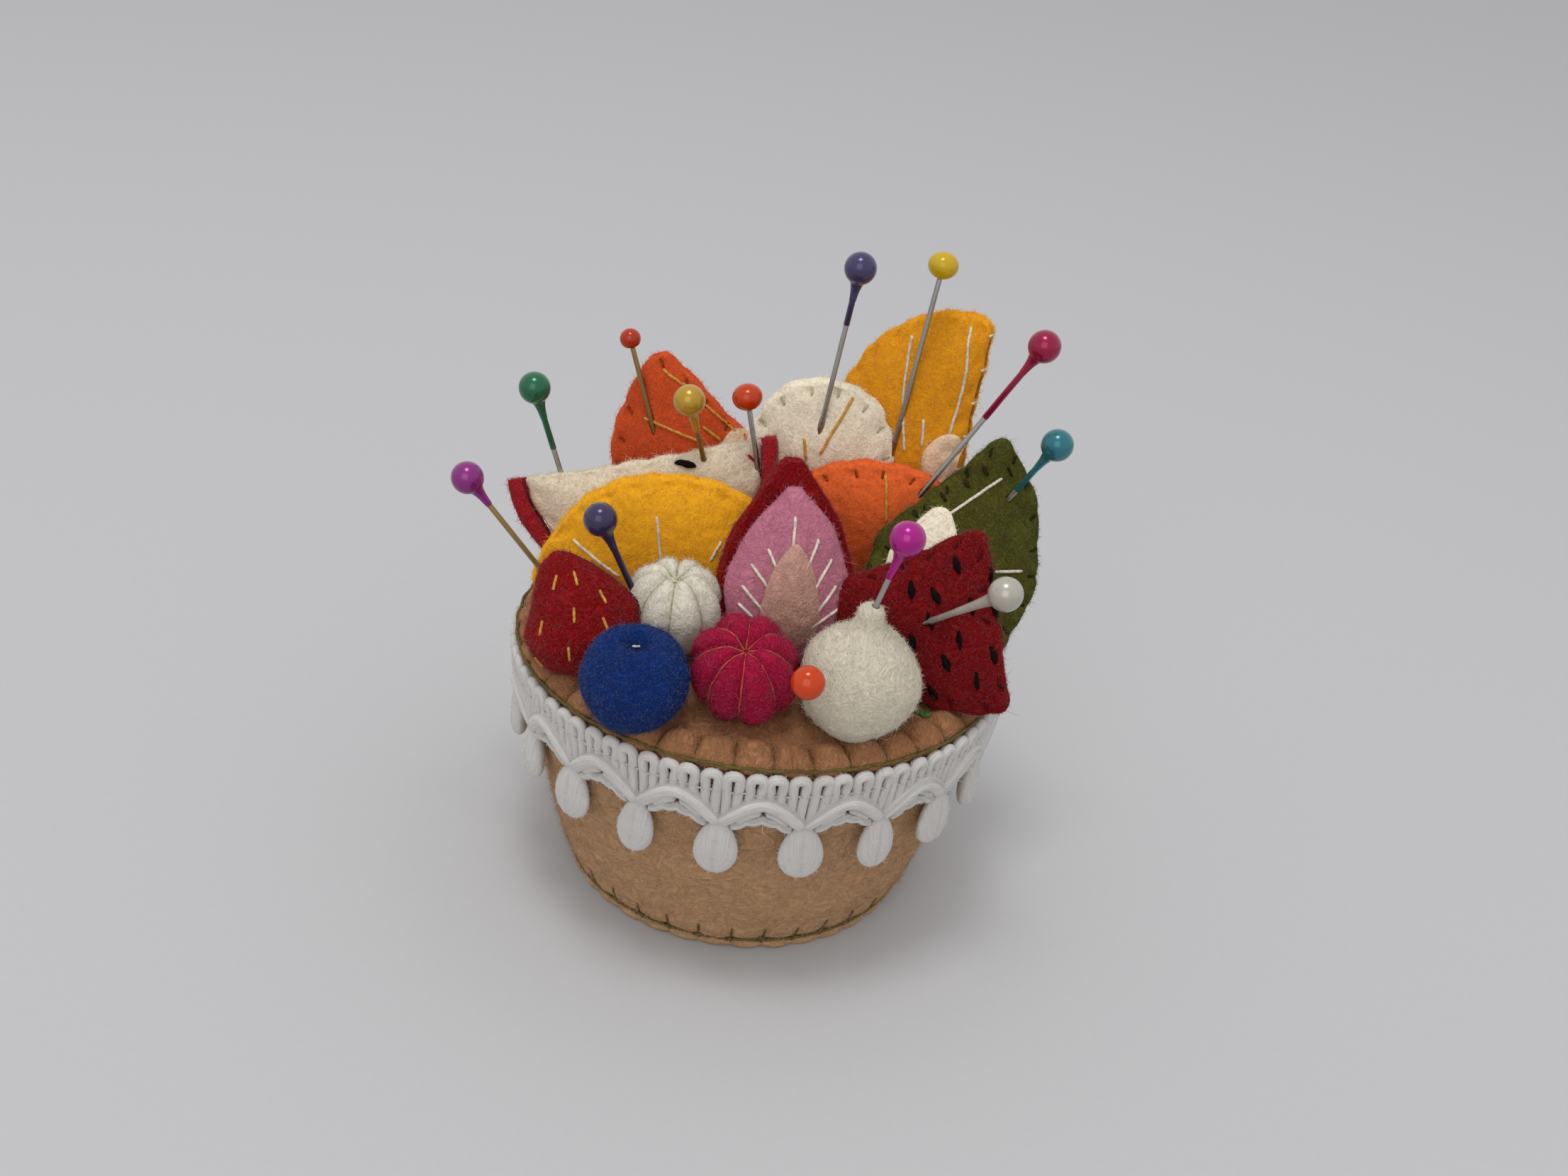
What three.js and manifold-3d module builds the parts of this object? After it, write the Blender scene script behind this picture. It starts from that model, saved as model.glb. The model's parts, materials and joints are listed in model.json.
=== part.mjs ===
// A felt cake pincushion: a stuffed felt cup with a lace rim, felt fruit on its top, and pins in the fruit.
// Millimetres, +Z up, the origin at the middle of the cup's underside. The front looks along -Y.
import * as THREE from 'three';
import { mergeVertices } from 'three/addons/utils/BufferGeometryUtils.js';
import Module from 'manifold-3d';

const wasm = await Module();
wasm.setup();

// Fits
const GAP = 0.3; // clearance between neighbouring pieces
const SEWN = 0.4; // clearance under a patch or strip that is sewn on
const SINK = 1; // how far a fruit is pressed into the top before it is cut to fit
const PIN_CLEARANCE = 0.3; // round a pin, in the felt
const BORE_CLEARANCE = 0.12; // round a shaft, in its head
const MERGE = 1e-3; // points closer than this are one point

// Cup
const FELT = 1.5; // thickness of the wool felt
const BASE_RADIUS = 22;
const RIM_RADIUS = 30;
const CUP_HEIGHT = 33; // from the table to the stitched rim
const WALL_BULGE = 0.8; // how far the wall swells between base and rim
const WALL_STEPS = 4;
const TOP_CROWN = 2.5; // rise of the stuffed top above its rim
const CUP_SIDES = 40;

// Lace braid
const LACE_DROPS = 19;
const LACE_START = -4; // angle of the first drop, in degrees from the front
const LACE_THICK = 1.2;
const LACE_TOP = 0.6; // below the rim
const LACE_BAND = 7.2; // height of the braid, at the middle of its scallops
const LACE_SCALLOP = 1.1; // half the depth of a scallop
const LACE_STATIONS = 4; // points along each scallop
const DROP_WIDTH = 5.4;
const DROP_LENGTH = 7.6;
const DROP_THICK = 2.2;
const DROP_SIDES = 6;

// Round fruit
const BLUEBERRY_RADIUS = 6.2;
const RASPBERRY_RADIUS = 6.3;
const WHITE_BERRY_RADIUS = 6.1;
const BERRY_LOBES = 8;
const BERRY_GROOVE = 0.8; // depth of a sewn channel
const BERRY_DIMPLE = 1.4; // how far the middle thread draws the top in
const DIMPLE_RADIUS = 2.1;
const CREAM_RADIUS = 6.9;
const CREAM_TIP = 3; // height of the peak above the round part
const CREAM_NUB = 1.5; // radius of the peak
const STRAWBERRY_RADIUS = 6.9;
const STRAWBERRY_LENGTH = 16;
const STRAWBERRY_BLUNT = 0.62; // power of the cone's widening: 1 is a straight cone, less is blunter
const FRUIT_SIDES = 20;
const BERRY_ROWS = 8;

// Halved strawberry
const HALF_WIDTH = 16.8;
const HALF_HEIGHT = 25;
const HALF_BELLY = 9; // height of the widest part
const HALF_DEPTH = 7.5;
const HALF_EDGE = 1; // thickness at the edge
const FACE_WIDTH = 15;
const FACE_HEIGHT = 21.5;
const FACE_RAISE = 0.6; // red felt that shows below the pink face
const FACE_THICK = 4; // the face is padded too
const HEART_WIDTH = 8;
const HEART_HEIGHT = 12.5;
const HEART_BELLY = 3.8;
const HEART_RAISE = 2.5;
const APPLIQUE = 1.2; // thickness of the felt sewn onto another piece

// Slices
const SLICE_THICK = 5.6; // stuffed slices, at the middle
const SLICE_EDGE = 2.6; // and along their seams
const SLICE_CROWN = 2.4; // power of a slice's crown: the greater, the later it falls to its seam
const CORNER = 2; // rounding at a slice's corners
const ARC_STEP = 12; // degrees between the points of an arc
const YELLOW_RADIUS = 18;
const ORANGE_RADIUS = 19;
const WEDGE_RADIUS = 23;
const WEDGE_TO = 128; // the wedge is a sector from 0 to this angle, in degrees
const WEDGE_RAISE = 11.6; // height of the wedge's middle, with its foot cut flat on the top
const LEMON_RADIUS = 19.4;
const KIWI_RADIUS = 21.5;
const KIWI_RAISE = 12; // height of the kiwi's middle, where it lies back on its neighbours
const KIWI_FROM = -115; // the kiwi and the melon are sectors between these angles, in degrees
const KIWI_TO = 33;
const MELON_RADIUS = 22.3;
const MELON_FROM = -145;
const MELON_TO = -68;
const MELON_CORNER = 5;
const RIND = 1; // thickness of the strip under the melon
const RIND_WIDTH = 3;
const APPLE_RADIUS = 15.2; // flesh alone
const PEEL = 1.4; // thickness of the strip round the apple
const PEEL_WIDTH = 5.6;
const PALE_RADIUS = 9.8;
const PALE_HEIGHT = 26.4;
const WEDGE_CORE = 9.2; // radius of the pith at a slice's middle
const LEMON_CORE = 4.4;
const KIWI_CORE = 8;

// Pins
const PIN_LENGTH = 38; // from the middle of the head to the point
const SHAFT_RADIUS = 0.33;
const POINT_LENGTH = 4;
const PEARL_RADIUS = 2;
const NECK_LENGTH = 2;
const LONG_NECK_LENGTH = 5.5;
const NECK_RADIUS = 0.65;
const THROAT_RADIUS = 0.95; // where the round part of a head ends
const BEAD_RADIUS = 1.9;
const BEAD_HEIGHT = 3.3; // glass beads are a little flat
const SMALL_BEAD_RADIUS = 1.35;
const SMALL_BEAD_HEIGHT = 2.6;
const BORE_PAST = 0.6; // how far the shaft's bore runs past the middle of its head
const SHAFT_SIDES = 6;
const HEAD_SIDES = 8;
const HEAD_STEPS = 6;

// Where each fruit stands on the top: x and y as parts of the rim's radius, the way it faces (turn), how far
// it leans back, and its spin in its own plane, in degrees.
const PLACE = {
  blueberry: { x: -0.446, y: -0.8, lean: -26 },
  raspberry: { x: -0.043, y: -0.693, lean: -31 },
  white_berry: { x: -0.353, y: -0.307, lean: -35 },
  cream_dollop: { x: 0.397, y: -0.68 },
  strawberry: { x: -0.7, y: -0.467, turn: 90, lean: 22 },
  strawberry_half: { x: 0.1, y: -0.335, turn: 10, lean: 18 },
  yellow_slice: { x: -0.383, y: 0.017, lean: 8 },
  apple_flesh: { x: -0.584, y: 0.4, lean: 20, spin: 196 },
  orange_wedge: { x: 0.02, y: 0.725, lean: 5, spin: 140 },
  pale_slice: { x: 0.16, y: 0.593, lean: 5 },
  orange_slice: { x: 0.427, y: 0.334, lean: 8 },
  lemon_slice: { x: 0.764, y: 0.566, turn: -30, lean: 5, spin: 88 },
  kiwi_slice: { x: 0.44, y: 0.15, turn: 20, lean: 38 },
  watermelon: { x: 0.81, y: -0.25, turn: -16, lean: 20 },
};

// Pins: the fruit each stands in, a point on its line (from that fruit's middle), its lean to the right and
// to the front in degrees, what shows from the felt to the middle of its head, and how much deeper it can go.
const PINS = [
  {
    name: 'purple_back', host: 'pale_slice', through: [-0.4, -0.4, 19.9], right: 6, front: 0,
    shows: 20.4, push: 8, head: 'pearl', colour: 0x6f6a9c,
  },
  {
    name: 'yellow', host: 'lemon_slice', through: [-8.3, 1.7, 5.4], right: 6, front: 0,
    shows: 19.6, push: 4, head: 'bead', colour: 0xd9b21c,
  },
  {
    name: 'crimson', host: 'orange_slice', through: [4.7, 0.7, 15.1], right: 29, front: 0,
    shows: 22.8, push: 8, head: 'pearl', colour: 0xb0304a,
  },
  {
    name: 'teal', host: 'kiwi_slice', through: [14.6, 6.4, 1.4], right: 26, front: 13,
    shows: 10, push: 4.5, head: 'pearl', colour: 0x3f7f8c,
  },
  {
    name: 'white', host: 'watermelon', through: [-5.9, -5, -11.3], right: 43, front: 37,
    shows: 12.4, push: 3.5, head: 'longNeck', colour: 0xe4e2dc,
  },
  {
    name: 'magenta_right', host: 'cream_dollop', through: [-0.3, -0.2, 7], right: 14, front: 3,
    shows: 9.4, push: 5, head: 'pearl', colour: 0xb02a86,
  },
  {
    name: 'orange_back', host: 'apple_flesh', through: [15.4, -0.8, -1.7], right: -14, front: 0,
    shows: 10.4, push: 5, head: 'bead', colour: 0xc8501e,
  },
  {
    name: 'gold', host: 'apple_flesh', through: [8.3, -0.9, -0.1], right: -17, front: 7,
    shows: 8, push: 2.5, head: 'pearl', colour: 0xc8a050,
  },
  {
    name: 'small_red', host: 'orange_wedge', through: [-17.5, -1.5, 3.6], right: -18, front: 0,
    shows: 10.7, push: 4.5, head: 'smallBead', colour: 0xc03818,
  },
  {
    name: 'green', host: 'apple_flesh', through: [-9.5, -0.5, -5], right: -19, front: 0,
    shows: 11.5, push: 6, head: 'pearl', colour: 0x2f7a58,
  },
  {
    name: 'magenta_left', host: 'yellow_slice', through: [-15.5, -0.8, 3], right: -40, front: 0,
    shows: 14.8, push: 8, head: 'pearl', colour: 0x98408c,
  },
  {
    name: 'purple_front', host: 'white_berry', through: [-3.5, -1.6, 0], right: -27, front: 0,
    shows: 10.1, push: 4.5, head: 'pearl', colour: 0x4a4468,
  },
  {
    name: 'orange_front', host: 'cream_dollop', through: [-5.6, -1.9, -0.4], right: -6, front: 57,
    shows: 7.1, push: 4.5, head: 'bead', colour: 0xd8601c,
  },
];

const COLOUR = {
  tan: 0xb08a64, lace: 0xe8e4dc, blue: 0x24407c, magenta: 0xa62246, cream: 0xe6d9c0, white: 0xe0ddd0,
  red: 0xa01a24, pink: 0xd98a9c, yellow: 0xeaa524, apple: 0xf0d6b0, orange: 0xdc6630, wedge: 0xc9522a,
  green: 0x5e6026, crimson: 0x8e161e, rind: 0x4a5c32, fibre: 0xf2efe8, steel: 0xc8c8cc,
};
const FELTED = { roughness: 0.95, metalness: 0 };
const POLISHED = { roughness: 0.25, metalness: 0 };
const STEEL = { roughness: 0.3, metalness: 1 };

const radians = THREE.MathUtils.degToRad;
const { lerp } = THREE.MathUtils;
const flat = (x, y) => new THREE.Vector2(x, y);
const point = (x, y, z) => new THREE.Vector3(x, y, z);
const polar = (radius, angle) => flat(radius * Math.cos(angle), radius * Math.sin(angle));

// Solids

// A closed surface of rings between two poles. Seen from the first pole's side, each ring runs anticlockwise.
function closedSurface(first, rings, last) {
  const columns = rings[0].length;
  const end = 1 + rings.length * columns;
  const index = [];
  for (let i = 0; i < columns; i += 1) {
    const next = (i + 1) % columns;
    index.push(0, 1 + i, 1 + next);
    for (let row = 1; row < rings.length; row += 1) {
      const above = 1 + (row - 1) * columns;
      const below = above + columns;
      index.push(above + i, below + i, below + next, above + i, below + next, above + next);
    }
    index.push(end, end - columns + next, end - columns + i);
  }
  const geometry = new THREE.BufferGeometry().setFromPoints([first, ...rings.flat(), last]);
  geometry.setIndex(index);
  return geometry;
}

// A solid of revolution about Z. Its profile of (radius, height) points runs from the top down.
function turned(profile, sides) {
  const rings = profile.slice(1, -1).map(({ x, y }) => Array.from({ length: sides }, (_, i) => {
    const spot = polar(x, (i / sides) * 2 * Math.PI);
    return point(spot.x, spot.y, y);
  }));
  const { y: highest } = profile[0];
  const { y: lowest } = profile[profile.length - 1];
  return closedSurface(point(0, 0, highest), rings, point(0, 0, lowest));
}

function merged(geometry) {
  const bare = geometry.clone();
  bare.deleteAttribute('normal');
  bare.deleteAttribute('uv');
  return mergeVertices(bare, MERGE);
}

function solidOf(geometry) {
  const { attributes, index } = merged(geometry);
  return new wasm.Manifold(new wasm.Mesh({
    numProp: 3,
    vertProperties: attributes.position.array,
    triVerts: new Uint32Array(index.array),
  }));
}

function geometryOf(solid) {
  const { vertProperties, triVerts } = solid.getMesh();
  const geometry = new THREE.BufferGeometry();
  geometry.setAttribute('position', new THREE.BufferAttribute(vertProperties, 3));
  geometry.setIndex(new THREE.BufferAttribute(triVerts, 1));
  return geometry;
}

// The same shape with every point moved out along its normal, to cut a neighbour with room to spare.
function grown(geometry, distance) {
  const swollen = merged(geometry);
  swollen.computeVertexNormals();
  const { position, normal } = swollen.attributes;
  for (let i = 0; i < position.count; i += 1) {
    const spot = point().fromBufferAttribute(position, i);
    spot.addScaledVector(point().fromBufferAttribute(normal, i), distance);
    position.setXYZ(i, spot.x, spot.y, spot.z);
  }
  return swollen;
}

const largest = (solid) => solid.decompose().reduce((a, b) => (b.volume() > a.volume() ? b : a));

// Outlines, anticlockwise, their straight and round stretches each divided into steps

const divided = (shape, steps) => shape.curves.flatMap((curve) => curve.getPoints(steps(curve)).slice(0, -1));

// A sector with its point at the origin and rounded corners. 180 degrees makes a half disc.
function sectorOutline(radius, from, to, corner = CORNER) {
  const start = radians(from);
  const stop = radians(to);
  const cut = corner / radius;
  const shape = new THREE.Shape();
  const line = ({ x, y }) => shape.lineTo(x, y);
  const bend = (tip, after) => shape.quadraticCurveTo(tip.x, tip.y, after.x, after.y);
  const first = polar(corner, start);
  shape.moveTo(first.x, first.y);
  line(polar(radius - corner, start));
  bend(polar(radius, start), polar(radius, start + cut));
  shape.absarc(0, 0, radius, start + cut, stop - cut, false);
  bend(polar(radius, stop), polar(radius - corner, stop));
  line(polar(corner, stop));
  bend(flat(0, 0), first);
  const straightSteps = (curve) => (curve.isLineCurve ? 3 : 2);
  return divided(shape, (curve) => (curve.isEllipseCurve ? arcSteps(to - from) : straightSteps(curve)));
}

const arcSteps = (span) => Math.ceil(span / ARC_STEP);

// A slab with a round top, standing on y = 0.
function archOutline(radius, height) {
  const shape = new THREE.Shape();
  shape.moveTo(-radius, 0);
  shape.lineTo(radius, 0);
  shape.lineTo(radius, height - radius);
  shape.absarc(0, height - radius, radius, 0, Math.PI, false);
  shape.lineTo(-radius, 0);
  return divided(shape, (curve) => (curve.isEllipseCurve ? arcSteps(180) : 4));
}

// A berry cut lengthways, its point up, standing on y = 0. Belly is the height of its widest part.
function berryOutline(width, height, belly) {
  const half = width / 2;
  const tip = half * 0.1;
  const shoulder = lerp(belly, height, 0.45);
  const neck = height * 0.9;
  const shape = new THREE.Shape();
  shape.moveTo(0, 0);
  shape.bezierCurveTo(half * 0.6, 0, half, belly * 0.4, half, belly);
  shape.bezierCurveTo(half, shoulder, half * 0.35, neck, tip, height);
  shape.lineTo(-tip, height);
  shape.bezierCurveTo(-half * 0.35, neck, -half, shoulder, -half, belly);
  shape.bezierCurveTo(-half, belly * 0.4, -half * 0.6, 0, 0, 0);
  return divided(shape, (curve) => (curve.isLineCurve ? 1 : 6));
}

// Soft forms

// Rings that shrink from an outline, which is star-shaped about its middle. A share of 1 is the outline.
const ringsIn = (outline, middle) => (share, height) => outline.map((spot) => {
  const { x, y } = middle.clone().lerp(spot, share);
  return point(x, y, height);
});

// A stuffed slice: two crowned faces sewn along the outline.
function pillow(outline, middle) {
  const ring = ringsIn(outline, middle);
  const crown = (share) => lerp(SLICE_THICK, SLICE_EDGE, share ** SLICE_CROWN) / 2;
  const shares = [0.5, 0.9];
  const front = shares.map((share) => ring(share, crown(share)));
  const back = shares.map((share) => ring(share, -crown(share))).reverse();
  const seam = [ring(1, SLICE_EDGE / 4), ring(1, -SLICE_EDGE / 4)];
  const pole = (height) => point(middle.x, middle.y, height);
  return closedSurface(pole(SLICE_THICK / 2), [...front, ...seam, ...back], pole(-SLICE_THICK / 2));
}

// A flat piece of felt with its edge eased over, from z = 0 to its thickness.
function patch(outline, middle, thick) {
  const ring = ringsIn(outline, middle);
  const pole = (height) => point(middle.x, middle.y, height);
  return closedSurface(pole(thick), [ring(0.85, thick), ring(1, thick * 0.6), ring(1, 0)], pole(0));
}

// A padded patch: a crowned front and a flat back at z = 0.
function paddedPatch(outline, middle, thick) {
  const ring = ringsIn(outline, middle);
  const pole = (height) => point(middle.x, middle.y, height);
  const crown = [[0.5, 0.88], [0.85, 0.62], [1, 0.3]].map(([share, rise]) => ring(share, thick * rise));
  return closedSurface(pole(thick), [...crown, ring(1, 0)], pole(0));
}

// A half fruit: a flat face at z = 0 with a stuffed dome behind it.
function halfFruit(outline, middle) {
  const ring = ringsIn(outline, middle);
  const pole = (height) => point(middle.x, middle.y, height);
  const dome = [0, 20, 41, 65].map((angle) => {
    const turn = radians(angle);
    return ring(Math.cos(turn), -lerp(HALF_EDGE, HALF_DEPTH, Math.sin(turn)));
  });
  return closedSurface(pole(0), [ring(1, 0), ...dome], pole(-HALF_DEPTH));
}

// A stuffed ball drawn in at the top, with any number of channels sewn from pole to pole.
function berry(radius, lobes) {
  const columns = lobes ? lobes * 3 : FRUIT_SIDES;
  const drawnIn = (spot) => {
    const away = Math.hypot(spot.x, spot.y) / DIMPLE_RADIUS;
    return spot.setZ(spot.z - BERRY_DIMPLE * Math.exp(-(away ** 2)));
  };
  const rings = Array.from({ length: BERRY_ROWS }, (_, row) => {
    const down = ((row + 1) / (BERRY_ROWS + 1)) * Math.PI;
    return Array.from({ length: columns }, (__, i) => {
      const round = (i / columns) * 2 * Math.PI;
      const channel = lobes ? (1 - Math.abs(Math.sin((lobes * round) / 2))) * Math.sin(down) : 0;
      const reach = radius - BERRY_GROOVE * channel;
      const { x, y } = polar(reach * Math.sin(down), round);
      const spot = point(x, y, reach * Math.cos(down));
      return row < BERRY_ROWS / 2 ? drawnIn(spot) : spot;
    });
  });
  return closedSurface(drawnIn(point(0, 0, radius)), rings, point(0, 0, -radius));
}

// A strip of felt laid round an arc in the XY plane, on its outer side, centred on z = 0.
function strip(radius, from, to, thick, width) {
  const curve = new THREE.EllipseCurve(0, 0, radius, radius, radians(from), radians(to));
  const steps = arcSteps(to - from);
  const rings = Array.from({ length: steps + 1 }, (_, i) => {
    const on = curve.getPoint(i / steps);
    const corner = (distance, height) => {
      const spot = on.clone().setLength(radius + distance);
      return point(spot.x, spot.y, height);
    };
    const inner = width / 2;
    const outer = width * 0.4;
    return [corner(0, -inner), corner(thick, -outer), corner(thick, outer), corner(0, inner)];
  });
  const total = (ring) => ring.reduce((sum, spot) => sum.add(spot), point(0, 0, 0));
  const centre = (ring) => total(ring).divideScalar(ring.length);
  return closedSurface(centre(rings[0]), rings, centre(rings[steps]));
}

// Scene graph

const cake = new THREE.Group();
const top = new THREE.Group();
top.position.z = CUP_HEIGHT;
cake.add(top);
const fitted = []; // felt pieces on the top, from the front back: each is cut to fit those before it

function addMesh(parent, name, geometry, colour, finish) {
  const mesh = new THREE.Mesh(geometry, new THREE.MeshStandardMaterial({ color: colour, ...finish }));
  mesh.name = name;
  parent.add(mesh);
  return mesh;
}

function addFitted(parent, name, geometry, colour) {
  const mesh = addMesh(parent, name, geometry, colour, FELTED);
  fitted.push(mesh);
  return mesh;
}

const crownAt = (radius) => TOP_CROWN * Math.max(0, 1 - (radius / RIM_RADIUS) ** 2);

// A group that stands on the top at a fruit's place, its own +Z turned to the front and its +Y up.
function stand(name, height) {
  const { x, y, turn = 0, lean = 0 } = PLACE[name];
  const post = new THREE.Group();
  const away = RIM_RADIUS * Math.hypot(x, y);
  post.position.set(RIM_RADIUS * x, RIM_RADIUS * y, crownAt(away) + height);
  post.rotation.z = radians(turn);
  const tilt = new THREE.Group();
  tilt.rotation.x = Math.PI / 2 - radians(lean);
  post.add(tilt);
  top.add(post);
  return tilt;
}

// Cup

const wallRadius = (height) => {
  const share = height / CUP_HEIGHT;
  return lerp(BASE_RADIUS, RIM_RADIUS, share) + WALL_BULGE * Math.sin(Math.PI * share);
};

function makeCup() {
  const bottom = [flat(0, FELT), flat(BASE_RADIUS - FELT / 2, FELT), flat(BASE_RADIUS, FELT / 2),
    flat(BASE_RADIUS - FELT / 4, 0), flat(0, 0)];
  addMesh(cake, 'bottom_disc', turned(bottom, CUP_SIDES), COLOUR.tan, FELTED);

  const foot = FELT + GAP;
  const head = CUP_HEIGHT - FELT - GAP;
  const heights = Array.from({ length: WALL_STEPS + 1 }, (_, i) => lerp(foot, head, i / WALL_STEPS));
  const outside = heights.map((height) => flat(wallRadius(height), height));
  const inside = heights.map((height) => flat(wallRadius(height) - FELT, height)).reverse();
  const wall = new THREE.LatheGeometry([...outside, ...inside, outside[0]], CUP_SIDES);
  addMesh(cake, 'side_wall', wall.rotateX(Math.PI / 2), COLOUR.tan, FELTED);

  const filled = inside.map(({ x, y }) => flat(x - GAP, y));
  const crowned = [0, filled[0].x / 2].map((radius) => flat(radius, head + crownAt(radius)));
  const fill = turned([...crowned, ...filled, flat(0, foot)], CUP_SIDES);
  addMesh(cake, 'cup_stuffing', fill, COLOUR.fibre, FELTED);

  const upper = [0, 0.5, 0.85, 1].map((share) => flat(share * RIM_RADIUS, crownAt(share * RIM_RADIUS)));
  const lower = upper.map(({ x, y }) => flat(x, y - FELT)).reverse();
  addFitted(top, 'top_disc', turned([...upper, ...lower], CUP_SIDES), COLOUR.tan);
}

// Lace: a scalloped braid with a drop of bundled thread at the foot of each scallop

const LACE_HEAD = CUP_HEIGHT - LACE_TOP;
const laceInner = (height) => wallRadius(height) + GAP;
const laceFoot = (share) => LACE_HEAD - LACE_BAND - LACE_SCALLOP * Math.cos(share * 2 * Math.PI);

function braidForm() {
  const stations = LACE_DROPS * LACE_STATIONS;
  const spots = [];
  const index = [];
  for (let i = 0; i < stations; i += 1) {
    const foot = laceFoot(i / LACE_STATIONS);
    const angle = (i / stations) * 2 * Math.PI + radians(LACE_START - 90);
    const inside = [LACE_HEAD, foot].map((height) => flat(laceInner(height), height));
    const outside = inside.map(({ x, y }) => flat(x + LACE_THICK, y)).reverse();
    const section = [...inside, ...outside];
    const corners = section.length;
    const next = ((i + 1) % stations) * corners;
    section.forEach(({ x, y }, j) => {
      const on = polar(x, angle);
      spots.push(point(on.x, on.y, y));
      const after = (j + 1) % corners;
      const here = i * corners;
      index.push(here + j, next + after, here + after, here + j, next + j, next + after);
    });
  }
  const braid = new THREE.BufferGeometry().setFromPoints(spots);
  braid.setIndex(index);
  return braid;
}

function dropForm() {
  const shoulder = DROP_WIDTH / 2;
  const outline = [flat(0, 0), flat(shoulder * 0.55, -DROP_LENGTH * 0.2), flat(shoulder, -DROP_LENGTH * 0.62),
    flat(shoulder * 0.7, -DROP_LENGTH * 0.9), flat(0, -DROP_LENGTH)];
  return turned(outline, DROP_SIDES).scale(DROP_THICK / DROP_WIDTH, 1, 1);
}

function makeLace() {
  const hang = laceFoot(0) + LACE_SCALLOP / 2;
  let lace = solidOf(braidForm());
  for (let i = 0; i < LACE_DROPS; i += 1) {
    const angle = (i / LACE_DROPS) * 2 * Math.PI + radians(LACE_START - 90);
    const drop = dropForm().translate(laceInner(hang) + LACE_THICK / 2, 0, hang).rotateZ(angle);
    lace = lace.add(solidOf(drop));
  }
  addMesh(cake, 'lace_trim', geometryOf(lace), COLOUR.lace, FELTED);
}

// Round fruit

function creamForm() {
  const crest = CREAM_RADIUS + CREAM_TIP;
  const brow = flat(CREAM_NUB * 0.8, crest - CREAM_NUB * 0.4);
  const peak = [flat(0, crest), brow, flat(CREAM_NUB, crest - CREAM_NUB)];
  const body = [72, 52, 30, 8, -14, -36, -58].map((angle) => polar(CREAM_RADIUS, radians(angle)));
  return turned([...peak, ...body, flat(0, -CREAM_RADIUS)], FRUIT_SIDES);
}

function strawberryForm() {
  const tip = STRAWBERRY_LENGTH - STRAWBERRY_RADIUS;
  const cone = [0.06, 0.25, 0.5, 0.78, 1].map((share) => (
    flat(STRAWBERRY_RADIUS * share ** STRAWBERRY_BLUNT, tip * (1 - share))));
  const bowl = [20, 42, 64].map((angle) => polar(STRAWBERRY_RADIUS, -radians(angle)));
  return turned([flat(0, tip), ...cone, ...bowl, flat(0, -STRAWBERRY_RADIUS)], FRUIT_SIDES);
}

function makeRoundFruit() {
  // Each form's own axis is +Z, and the holder's +Y is up.
  const add = (name, radius, form, colour) => {
    const mesh = addFitted(stand(name, radius - SINK), name, form, colour);
    mesh.rotation.x = -Math.PI / 2;
  };
  add('cream_dollop', CREAM_RADIUS, creamForm(), COLOUR.cream);
  add('strawberry', STRAWBERRY_RADIUS, strawberryForm(), COLOUR.red);
  add('raspberry', RASPBERRY_RADIUS, berry(RASPBERRY_RADIUS, BERRY_LOBES), COLOUR.magenta);
  add('white_berry', WHITE_BERRY_RADIUS, berry(WHITE_BERRY_RADIUS, BERRY_LOBES), COLOUR.white);
  add('blueberry', BLUEBERRY_RADIUS, berry(BLUEBERRY_RADIUS, 0), COLOUR.blue);
}

function makeStrawberryHalf() {
  const middle = (height) => flat(0, height * 0.4);
  const outline = berryOutline(HALF_WIDTH, HALF_HEIGHT, HALF_BELLY);
  const form = halfFruit(outline, middle(HALF_HEIGHT));
  const body = addFitted(stand('strawberry_half', -SINK), 'strawberry_half_body', form, COLOUR.red);

  const faceOutline = berryOutline(FACE_WIDTH, FACE_HEIGHT, HALF_BELLY);
  const faceForm = paddedPatch(faceOutline, middle(FACE_HEIGHT), FACE_THICK);
  const face = addFitted(body, 'strawberry_half_face', faceForm, COLOUR.pink);
  face.position.set(0, FACE_RAISE, SEWN);

  const heartOutline = berryOutline(HEART_WIDTH, HEART_HEIGHT, HEART_BELLY);
  const root = FACE_THICK / 2;
  const heartForm = patch(heartOutline, middle(HEART_HEIGHT), root + APPLIQUE);
  const heart = addFitted(face, 'strawberry_half_heart', heartForm, COLOUR.cream);
  heart.position.set(0, HEART_RAISE, root);
}

// Slices

// How high a slice's middle lies when it stands on its arc, leaning back.
const onArc = (name, radius) => radius * Math.cos(radians(PLACE[name].lean)) - SINK;

function addSlice(name, radius, from, to, height, colour, corner = CORNER) {
  const middle = polar(radius / 2, radians((from + to) / 2));
  const form = pillow(sectorOutline(radius, from, to, corner), middle);
  const mesh = addFitted(stand(name, height), name, form, colour);
  mesh.rotation.z = radians(PLACE[name].spin ?? 0);
  return mesh;
}

// Pith: a small patch at the slice's middle, standing a little proud of its front face.
function addCore(slice, radius, from, to) {
  const middle = polar(radius / 2, radians((from + to) / 2));
  const root = SLICE_EDGE / 2;
  const depth = (SLICE_THICK + APPLIQUE) / 2 - root;
  const form = patch(sectorOutline(radius, from, to), middle, depth);
  const core = addFitted(slice, `${slice.name}_core`, form, COLOUR.cream);
  core.position.z = root;
}

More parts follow.
